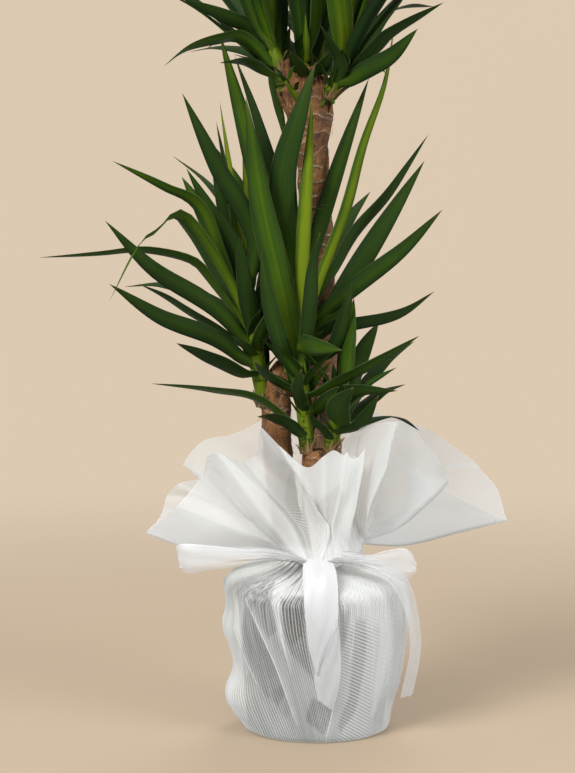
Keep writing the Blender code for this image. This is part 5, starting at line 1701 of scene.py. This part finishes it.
def crumb(surface, centre, size, rng, **values):
    """A small rough lump: an octahedron with uneven corners."""
    corners = []
    for axis in range(3):
        for sign in (-1, 1):
            corner = Vector([rng.uniform(-0.3, 0.3) for _ in range(3)])
            corner[axis] += sign * rng.uniform(0.5, 1.0)
            corners.append(centre + corner * size)
    faces = [(x, y, z) for x in (0, 1) for y in (2, 3) for z in (4, 5)]
    surface.add(corners, [face if sum(face) % 2 else face[::-1] for face in faces], **values)


# Net wrap


def turned(degrees, middle):
    """How many degrees an angle lies past a middle one, from -180 to 180."""
    return (degrees % 360 - middle + 180) % 360 - 180


def side_bulge(angles, heights, course, middle, reach):
    """How far the loose net stands off one side of the pot, in metres."""
    heights = heights[:, 0]
    course = np.array(course).T * CM
    rounded = sum(np.interp(heights + step * CM, *course) for step in BULGE_ROUNDING) / len(BULGE_ROUNDING)
    rounded = rounded * ramp(heights, 0, 0.02)
    return rounded[:, None] * hump(turned(np.degrees(angles), middle), 0, reach)


def net_body_profile():
    """The net's line from the middle of its foot to the neck's top: radius and height."""
    body = smooth_line([Vector(station) for station in NET_BODY], BODY_ROWS)
    foot = [Vector((NET_BODY[0][0] * k / FOOT_ROWS, 0, 0)) for k in range(FOOT_ROWS)]
    return np.array([(p.x, max(p.y, 0.0)) for p in foot + body])


def rib_line(degrees, course):
    """A rib's points from the neck to the ruff's edge."""
    angle = math.radians(degrees)
    out, up = Vector((math.cos(angle), math.sin(angle), 0)), Vector((0, 0, 1))
    neck = out * NECK_RADIUS + up * NECK_TOP
    stations = [front_view(*station) for station in course]
    rise = RIB_RISE
    if len(course) > 1:
        rise = min(RIB_RISE, max((stations[0].z - neck.z) * 0.3, 0.0005))
    droop = float(hump(degrees, *DROOP_AT))
    knot = float(hump(degrees, *KNOT_AT))
    points = [neck]
    for k, (away, fall) in enumerate(DROOP):
        away = LEAST_AWAY + (away + KNOT_AWAY * knot - LEAST_AWAY) * droop
        points.append(neck + out * away + up * (rise * (1 + k / 2) * (1 - droop) + fall * droop))
    if len(course) > 1:
        points += stations
    else:
        edge = stations[-1]
        for step in (0.4, 0.7, 1.0):
            flat = neck.lerp(edge, step**1.15)
            rise = (edge.z - neck.z) * math.sin(step * math.pi / 2) ** 0.8
            points.append(Vector((flat.x, flat.y, neck.z + rise)))
    return np.array(smooth_line(points, RUFF_ROWS + 1))


def ruff_grid():
    """The ruff's points by row and column, each column's compass angle and cover, and the ribs' columns."""
    compass, crisp, hidden, courses = zip(*RUFF_RIBS)
    lines = [rib_line(degrees, course) for degrees, course in zip(compass, courses)]
    compass = [*compass, compass[0] + 360]
    count = len(lines)
    columns, angles, covers, starts = [], [], [], []
    for i in range(count):
        j = (i + 1) % count
        a, b = lines[i], lines[j]
        chord = b - a
        leave = crisp[i] * chord + (1 - crisp[i]) * (b - lines[i - 1]) / 2
        reach = crisp[j] * chord + (1 - crisp[j]) * (lines[(i + 2) % count] - a) / 2
        turn = compass[i + 1] - compass[i]
        steps = max(LEAST_COLUMNS, round(turn * COLUMNS_PER_DEGREE))
        starts.append(len(columns))
        for t in (k / steps for k in range(steps)):
            columns.append(
                (2 * t**3 - 3 * t**2 + 1) * a + (t**3 - 2 * t**2 + t) * leave
                + (3 * t**2 - 2 * t**3) * b + (t**3 - t**2) * reach
            )
            angles.append(math.radians(compass[i] + turn * t))
            covers.append(hidden[i] + (hidden[j] - hidden[i]) * t)
    return np.stack(columns, 1), np.array(angles), np.array(covers), starts


def body_grid(angles):
    """The body's points by row and column, pleated and lapped towards the neck."""
    profile = net_body_profile()
    radii, heights = profile[:, :1], profile[:, 1:]
    slope_out, slope_up = (np.gradient(part[:, 0])[:, None] for part in (radii, heights))
    size = np.hypot(slope_out, slope_up) + 1e-9
    grid = np.concatenate([ring_points(angles, 1, height * 4) for height in heights[:, 0]])
    drift, strength, broad = (noise(grid, *own).reshape(len(profile), -1) for own in BODY_NOISES)
    strength = strength * 0.5 + 0.5
    leaned = angles + net_sweep(angles, heights) / NET_RADIUS
    swing = np.sin((FOLDS * (leaned / math.tau + 0.04 * drift) + 0.7 * broad) * math.tau)
    loose = ramp(heights, 0, 0.05) * ramp(heights, NECK_TOP, -0.01)
    loose = loose * (1 - 0.85 * hump(np.degrees(angles) % 360, *CALM_FRONT))
    upper = ramp(heights, 0.12, 0.09)
    lap = (0.06 + (0.2 + 1.7 * strength**1.5) * upper) * loose
    theta = angles + lap / FOLDS * swing
    depth = (0.0004 + (0.0006 + 0.0016 * strength) * upper) * loose
    push = -depth * swing * np.tanh(3 * np.sin(angles + 1.2)) + broad * 0.0020 * loose
    push = push + side_bulge(angles, heights, LEFT_BULGE, *LEFT_BULGE_AT) + gathers(angles, heights, 0)
    push = push + side_bulge(angles, heights, RIGHT_BULGE, *RIGHT_BULGE_AT)
    height = np.maximum(heights - push * slope_out / size, 0) * (heights > 0)
    radius = np.where(heights > 0, radii + push * slope_up / size, radii)
    return np.stack([np.cos(theta) * radius, np.sin(theta) * radius, height + NET_THICKNESS / 2], -1)


def gathers(angles, heights, steps):
    """The tight little pleats by the ribbon, which push the net in and out, in metres."""
    near = hump(heights, NECK_TOP, 0.022) * (heights < NECK_TOP + 1e-6)
    near = near + hump(steps, 0, 0.16) * (heights > NECK_TOP)
    uneven = np.sin(angles * GATHERS + 2.2 * np.sin(angles * 3)) + 0.5 * np.sin(angles * GATHERS * 1.7 + 1)
    calm = 1 - 0.6 * hump(np.degrees(angles) % 360, *CALM_GATHERS)
    return GATHER_DEPTH * (uneven * calm) * near


def net_sweep(angles, heights):
    """How far round the axis the net's lines are drawn, in metres: to the right low down on the
    front left, and towards the front by the neck."""
    degrees = np.degrees(angles) % 360
    drawn = 0.055 * hump(degrees, *DRAWN_RIGHT) - 0.012 * hump(degrees, *DRAWN_LEFT)
    low = -drawn * np.clip(1 - heights / 0.23, 0, 1) ** 1.6
    away = np.radians(turned(degrees, KNOT_COMPASS))
    share = ramp(heights, 0.185, 0.055)
    return low + NET_RADIUS * 1.5 * share * share * (3 - 2 * share) * np.sin(away) * (1 + np.cos(away)) / 2


def front_place(points):
    """Where points show in the front view: metres across and up on the pot's axis plane."""
    scale = -EYE.y / (points[:, 1] - EYE.y)
    return EYE.x + (points[:, 0] - EYE.x) * scale, EYE.z + (points[:, 2] - EYE.z) * scale


def pane_depth(x, z, corners):
    """How far inside a pane points of the front view lie, in cm: below 0 outside it."""
    nearest, inside = np.full(len(x), 1e9), np.zeros(len(x), bool)
    for (ax, az), (bx, bz) in zip(corners, corners[1:] + corners[:1]):
        run_x, run_z = bx - ax, bz - az
        along = np.clip(((x - ax) * run_x + (z - az) * run_z) / (run_x**2 + run_z**2), 0, 1)
        nearest = np.minimum(nearest, np.hypot(x - ax - along * run_x, z - az - along * run_z))
        if run_z:
            crossed = (az > z) != (bz > z)
            inside ^= crossed & (x < ax + (z - az) / run_z * run_x)
    return np.where(inside, nearest, -nearest)


def pane_share(points, corners):
    """1 where points show inside a pane and 0 outside it, in the shape of the grid."""
    x, z = front_place(points.reshape(-1, 3))
    depth = pane_depth(x / CM, z / CM, corners)
    return np.clip(0.5 + depth / PANE_EDGE, 0, 1).reshape(points.shape[:2])


def body_layers(body):
    """How much less or more the net hides at the front of the body, because of its layers, and where one
    pane paints light over the shade by the neck.
    """
    facing = np.clip(-body[:, :, 1] / 0.035, 0, 1)
    return sum(amount * pane_share(body, corners) for amount, corners in PANES) * facing


def ruff_layers(ruff, compass):
    """The same in the ruff. compass is its columns' degrees from 90 to 450."""
    total = np.zeros(ruff.shape[:2])
    for first, last, amount, corners in RUFF_PANES:
        total += amount * pane_share(ruff, corners) * ((compass >= first) & (compass <= last))
    return total


def crease_distance(points):
    """How far points lie from the front's nearest crease, in metres, and the same with its side's sign."""
    x, z = front_place(points)
    nearest, signed = np.full((2, len(points)), 1.0)
    for crisp, course in BODY_CREASES:
        course = [np.array(corner) * CM for corner in course]
        lengths = [math.dist(a, b) for a, b in zip(course, course[1:])]
        for k, (a, b, length) in enumerate(zip(course, course[1:], lengths)):
            run = b - a
            along = ((x - a[0]) * run[0] + (z - a[1]) * run[1]) / length
            beside = ((x - a[0]) * run[1] - (z - a[1]) * run[0]) / length
            past = np.maximum(0, np.maximum(-along, along - length))
            share = (sum(lengths[:k]) + np.clip(along, 0, length)) / sum(lengths)
            fading = np.clip(np.minimum(0.45 + share * 3, 0.25 + (1 - share) * 1.8), 0, 1)
            away = np.hypot(beside, past) / (crisp * fading)
            here = (away < nearest) & (points[:, 1] < 0)
            nearest = np.where(here, away, nearest)
            signed = np.where(here, np.where(beside < 0, -away, away), signed)
    return nearest, signed


def joined_ruff(ruff, neck, angles, steps, outward):
    """The ruff led on from the body's neck, with soft waves and the ribbon's tight pleats."""
    ruff = ruff[1:] + (neck - ruff[0]) * np.exp(-steps * 12)[:, :, None]
    wave = roughness(ruff.reshape(-1, 3), RUFF_WAVES).reshape(ruff.shape[:2]) * steps**0.7
    wave = wave + RUFF_GATHERS * gathers(angles, np.full((RUFF_ROWS, 1), 1.0), steps)
    return ruff + wave[:, :, None] * outward


def rib_distance(ruff, starts):
    """How far each point of the ruff lies from its nearest crisp rib, in metres."""
    across = np.cumsum(np.linalg.norm(ruff - np.roll(ruff, 1, axis=1), axis=2), axis=1)
    nearest = np.full(ruff.shape[:2], 1.0)
    for start, (_, crisp, _, _) in zip(starts, RUFF_RIBS):
        if crisp:
            away = np.abs(across - across[:, start:start + 1])
            nearest = np.minimum(nearest, np.minimum(away, across[:, -1:] - away) / crisp)
    return nearest


def front_panel(degrees, z):
    """1 on the plain panel low down in front, and 0 away from it."""
    return hump(degrees, *FRONT_PANEL) * ramp(z, 0.185, -0.03)


def body_cover(body, angles, broad, nearest, signed):
    """How much the net hides round the pot: its bands, layers, creases and gathers add up, with painted
    light on one side of each crease and over the shade by the neck.
    """
    degrees, z = np.degrees(angles) % 360, body[:, :, 2]
    to_neck = ramp(z, 0.195, NECK_TOP - 0.195)
    upper_right = hump(degrees, *UPPER_RIGHT) * ramp(z, 0.150, 0.05)
    cover = BODY_COVER + NOISE_COVER * broad + RIGHT_COVER * hump(degrees, *RIGHT_BAND)
    cover = cover + UPPER_RIGHT_COVER * upper_right + LEFT_COVER * hump(degrees, *LEFT_BAND)
    # painted light on one side of each crease
    cover = cover + body_layers(body) + PAINTED_CREASE_LIGHT * (np.exp(-nearest / 0.008) * (signed < 0))
    cover = cover + NECK_COVER * to_neck**2 + UNDER_NECK_COVER * np.clip(to_neck * 3, 0, 1)
    cover = cover + PANEL_COVER * front_panel(degrees, z)
    drawn = angles * NET_RADIUS + net_sweep(angles, z)
    rays = np.sin(drawn * math.tau / RAY_SPACING + 2.2 * np.sin(drawn * 90))
    return np.minimum(cover, DENSEST) + RAY_CONTRAST * rays * ramp(z, 0.160, 0.04)


def thread_shares(angles, z, steps):
    """How much of the threads along the net, and of those across it, shows on body and ruff."""
    degrees = np.degrees(angles) % 360
    left, panel = hump(degrees, *LEFT_BAND), front_panel(degrees, z)
    chevrons = hump(degrees, *CHEVRONS) * np.clip(1.2 - steps * 1.6, 0, 1)
    stripes = hump(degrees, *STRIPES) * hump(steps, 0.5, 0.15)
    ruff_warp = 0.55 * np.exp(-steps * 7) + 0.9 * chevrons
    warp = np.concatenate([1 - 0.75 * panel - 0.45 * left * (1 - panel), ruff_warp])
    return warp, np.concatenate([1.20 * panel, stripes])


def rear_shade(body, angles, steps):
    """How much painted shade greys the net: only the ruff, and most of all its rear."""
    shade = (0.03 + 0.36 * hump(turned(np.degrees(angles), REAR[0]), 0, REAR[1])) * np.clip(steps * 3, 0, 1)
    return np.concatenate([np.zeros(body.shape[:2]), shade])


def build_net():
    """One sheet: the body's rows from the middle of its foot to the neck, and then the ruff's."""
    ruff, angles, covers, starts = ruff_grid()
    body = body_grid(angles)
    outward = np.stack([np.cos(angles), np.sin(angles), np.zeros(len(angles))], 1)
    steps = np.linspace(0, 1, RUFF_ROWS + 1)[1:, None]
    ruff = joined_ruff(ruff, body[-1], angles, steps, outward)
    nearest, signed = (away.reshape(body.shape[:2]) for away in crease_distance(body.reshape(-1, 3)))
    ridge = np.exp(-nearest / CREASE_REACH)[:, :, None] * CREASE_RISE
    body = body + ridge * outward * (body[:, :, 2:] > 0.004)
    points = np.concatenate([body, ruff])
    rows, columns = points.shape[:2]
    broad = noise(points.reshape(-1, 3), 11.0, 31).reshape(rows, columns)
    from_rib = rib_distance(ruff, starts)
    ruff_cover = covers + RUFF_NECK_COVER * np.exp(-steps * 7) + RUFF_NOISE_COVER * broad[len(body):]
    ruff_cover = ruff_cover + RIB_COVER * np.exp(-from_rib / 0.010) + ruff_layers(ruff, np.degrees(angles))
    cover = [body_cover(body, angles, broad[:len(body)], nearest, signed), ruff_cover]
    crease = np.concatenate([signed, from_rib])
    runs = np.cumsum(np.linalg.norm(np.diff(points, axis=0), axis=2), axis=0)
    lengths = np.concatenate([np.zeros((1, columns)), runs])
    warp, weft = thread_shares(angles, body[:, :, 2], steps)
    across = angles * NET_RADIUS + net_sweep(angles, points[:, :, 2])
    values = {
        "cover": np.clip(np.concatenate(cover), 0, 1),
        "rim": lengths[-1] - lengths,
        "crease": crease,
        "away": np.abs(crease),
        "shade": rear_shade(body, angles, steps),
        "loose": np.clip(np.arange(rows) - len(body) + 1, 0, 6)[:, None] / 6 * np.ones((1, columns)),
        "weave": np.stack([across, lengths, np.zeros_like(lengths)], -1),
        "warp": warp,
        "weft": weft,
    }
    # The first row is one point, which stands at the end of that row
    for name, value in values.items():
        values[name] = value.reshape(rows * columns, -1).squeeze()[columns - 1:]
    surface = Surface()
    surface.add(points.reshape(-1, 3)[columns - 1:], net_grid_faces(rows, columns), **values)
    net = surface.make("net_sheet", net_finish(), "net", ["net_wrap"])


def net_grid_faces(rows, columns):
    """The net's quads, with its first row of points, all in the middle, as the one point 0."""
    faces = [(0, 1 + (j + 1) % columns, 1 + j) for j in range(columns)]
    quads = grid_faces(rows - 1, columns, closed=True)
    return faces + [tuple(corner + 1 for corner in quad) for quad in quads]


# Ribbon


def along_ribbon(share, values):
    """A value at this share of a ribbon's length, between evenly spaced ones."""
    return np.interp(share, np.linspace(0, 1, len(values)), values)


def fine_panel(surface, first, second, dense, curl, pleats, fullness=0.85):
    """A stretch of ribbon between two edges. dense is its cover along it. Where the edges draw
    together, pleats take up the ribbon's width, all of it at a fullness of 1."""
    sides = ([front_view(*point) for point in side] for side in (first, second))
    first, second = (np.array(smooth_line(side, RIBBON_SPANS)) for side in sides)
    u = np.linspace(-1, 1, RIBBON_ACROSS + 1)
    share = np.linspace(0, 1, RIBBON_SPANS)[:, None]
    middle, half = (first + second) / 2, (second - first) / 2
    points = middle[:, None] + half[:, None] * u[:, None]
    spare = np.sqrt(np.maximum(RIBBON_WIDTH**2 - 4 * (half**2).sum(1), 0))[:, None]
    ripple = fullness * spare / (4 * pleats) * np.sin(u * math.pi * pleats + 2.5 * share)
    ripple = ripple * ramp(share, 0.62, -0.50)
    points[:, :, 1] += curl * (u * u) + ripple + 0.0006 * np.sin(u * 6 + share * 9)
    run = np.concatenate([[0], np.cumsum(np.linalg.norm(np.diff(middle, axis=0), axis=1))])
    weave = np.stack(np.broadcast_arrays(u * RIBBON_WIDTH / 2, run[:, None], 0.0), -1)
    cover = np.repeat(along_ribbon(share, dense), len(u))
    surface.add(
        points, grid_faces(RIBBON_SPANS, len(u)),
        cover=cover, edge=np.tile(u, RIBBON_SPANS), weave=weave.reshape(-1, 3),
    )


def side_tail(surface):
    """The tail on the right: gathered near the knot, with curled edges."""
    line = smooth_line([Vector(p) * CM for p in SIDE_TAIL], RIBBON_SPANS)
    u = np.linspace(-1, 1, RIBBON_ACROSS + 1)
    run, rows, covers, weaves = 0.0, [], [], []
    for k, (centre, along) in enumerate(zip(line, tangents(line))):
        share = k / (RIBBON_SPANS - 1)
        run += (centre - line[max(k - 1, 0)]).length
        wide = square_part(along.cross(Vector((centre.x, centre.y, 0))), along)
        width = along_ribbon(share, SIDE_TAIL_WIDTHS) * RIBBON_WIDTH
        narrow = 1 - min(1.0, width / RIBBON_WIDTH)
        bend = np.sin(u * math.pi * 2.5 + SIDE_TAIL_TURN) * 0.0035 * narrow + (u * u) * 0.0022 * (1 - narrow)
        bend += np.sin(u * 2.1 + share * 5 + SIDE_TAIL_TURN) * 0.0016
        rows.append(np.outer(u * width / 2, wide) + np.outer(bend, along.cross(wide)) + np.array(centre))
        covers.append(np.full(len(u), along_ribbon(share, SIDE_TAIL_COVER)))
        weaves.append(np.stack([u * RIBBON_WIDTH / 2, np.full(len(u), run), np.zeros(len(u))], 1))
    surface.add(
        np.concatenate(rows), grid_faces(RIBBON_SPANS, len(u)),
        cover=np.concatenate(covers), edge=np.tile(u, RIBBON_SPANS), weave=np.concatenate(weaves),
    )


def ribbon_band(surface):
    """The turn of ribbon round the neck, drawn tight and so creased lengthwise."""
    angles = ring_angles(BAND_COLUMNS)
    low = (NECK_FOOT + NECK_TOP - BAND_HEIGHT) / 2
    points, edge = [], []
    for share in (k / (BAND_ROWS - 1) for k in range(BAND_ROWS)):
        crease = 0.0008 * math.sin(share * math.pi * 5) + 0.0004 * np.sin(angles * 9 + share * 6)
        height = low + BAND_HEIGHT * share + 0.0010 * np.sin(angles * 3 + 1)
        points.append(ring_points(angles, BAND_RADIUS + RIBBON_THICKNESS / 2 + crease, height))
        edge.append(np.full(BAND_COLUMNS, 2 * share - 1))
    points, edge = np.concatenate(points), np.concatenate(edge)
    faces = grid_faces(BAND_ROWS, BAND_COLUMNS, closed=True)
    surface.add(points, faces, cover=0.97, edge=edge, weave=points)


def ribbon_knot():
    """The knot: a tight turn of ribbon, creased from end to end."""
    angles = ring_angles(KNOT_COLUMNS)
    rings = []
    for share in (-1 + 2 * k / (KNOT_ROWS - 1) for k in range(KNOT_ROWS)):
        size = math.sqrt(max(0.0, 1 - abs(share) ** 2.6)) * 0.92 + 0.08
        creases = 0.07 * np.sin(angles * 7 + 2.5 * share), 0.04 * np.sin(angles * 13 - 4 * share)
        creased = size * (1 + creases[0] + creases[1])
        rings.append(np.stack([
            np.full(KNOT_COLUMNS, KNOT.x + 0.7 * KNOT_REACH.x * share),
            KNOT.y + KNOT_REACH.y * np.cos(angles) * creased,
            KNOT.z + 0.8 * KNOT_REACH.z * np.sin(angles) * creased,
        ], 1))
    points = np.concatenate(rings)
    surface = Surface()
    surface.add(points, closed_faces(KNOT_ROWS, KNOT_COLUMNS), cover=1.0, edge=0.0, weave=points)
    return surface


def build_ribbon():
    finish = ribbon_finish()
    bow = Surface()
    ribbon_band(bow)
    for panel in LEFT_PANELS:
        fine_panel(bow, *panel)
    side_tail(bow)
    for panel in RIGHT_PANELS:
        fine_panel(bow, *panel)
    bow = bow.make("ribbon_bow", finish, "ribbon", ["ribbon"])
    knot = ribbon_knot().make("ribbon_knot", finish, "ribbon", ["ribbon"])


# Studio


def stage_piece(name, points, faces, finish):
    mesh = bpy.data.meshes.new(name)
    mesh.from_pydata(points, [], faces)
    mesh.materials.append(finish)
    piece = bpy.data.objects.new(name, mesh)
    bpy.context.scene.collection.objects.link(piece)
    piece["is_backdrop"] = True
    return piece


def backdrop_finish():
    f = Finish("warm_backdrop")
    clouds = f.grain(f.place(), 0.35, 2.0)
    return f.done(f.glow(f.mix(clouds, BACKDROP, tuple(BACKDROP_CLOUDS * c for c in BACKDROP))))


def build_stage():
    """A plain warm dome and floor, which tint nothing."""
    angles = ring_angles(DOME_COLUMNS)
    rises = np.radians(np.linspace(*DOME_RISES, DOME_ROWS))
    rings = [ring_points(angles, math.cos(e) * DOME_RADIUS, math.sin(e) * DOME_RADIUS) for e in rises]
    faces = grid_faces(DOME_ROWS, DOME_COLUMNS, closed=True)
    dome = stage_piece("studio_backdrop", np.concatenate(rings).tolist(), faces, backdrop_finish())
    ring = ring_points(ring_angles(FLOOR_COLUMNS), FLOOR_RADIUS, 0)
    floor = stage_piece("studio_floor", ring.tolist(), [range(FLOOR_COLUMNS)], floor_finish())
    for piece in (dome, floor):
        piece.visible_diffuse = False
        piece.visible_glossy = False
        piece.visible_transmission = False
    dome.visible_shadow = False


def soft_box(place, target, width, watts, colour):
    light = bpy.data.lights.new("soft_box", "AREA")
    light.shape = "SQUARE"
    light.size, light.energy, light.color = width, watts, colour
    box = bpy.data.objects.new("soft_box", light)
    box.location = place
    box.rotation_euler = (Vector(target) - Vector(place)).to_track_quat("-Z", "Y").to_euler()
    box.visible_glossy = place[1] < 0  # the one behind would veil the leaves
    bpy.context.scene.collection.objects.link(box)


def build_studio():
    """The stage, a grey surround and white soft boxes."""
    scene = bpy.context.scene
    scene.view_settings.view_transform = "Standard"
    scene.cycles.transparent_max_bounces = 40
    build_stage()
    scene.world = bpy.data.worlds.new("studio")
    scene.world.use_nodes = True
    background = scene.world.node_tree.nodes["Background"]
    background.inputs["Color"].default_value = (*SURROUND, 1)
    background.inputs["Strength"].default_value = SURROUND_STRENGTH
    for box in SOFT_BOXES:
        soft_box(*box)


def build_camera():
    camera = bpy.data.objects.new("camera", bpy.data.cameras.new("camera"))
    camera.data.lens = LENS
    camera.data.sensor_width = FRAME_SIDE
    camera.data.clip_start = 0.05
    camera.location = EYE
    camera.rotation_euler = (math.radians(90 - PITCH), 0, 0)
    bpy.context.scene.collection.objects.link(camera)
    bpy.context.scene.camera = camera


for old in list(bpy.data.objects):
    bpy.data.objects.remove(old)
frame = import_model()
solid_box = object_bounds()
build_camera()
build_studio()
build_leaves()
build_bark()
build_pot()
build_soil()
build_net()
build_ribbon()
boxes = {"cad": solid_box, "visual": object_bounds()}
{name: [list(corner) for corner in box] for name, box in boxes.items()}
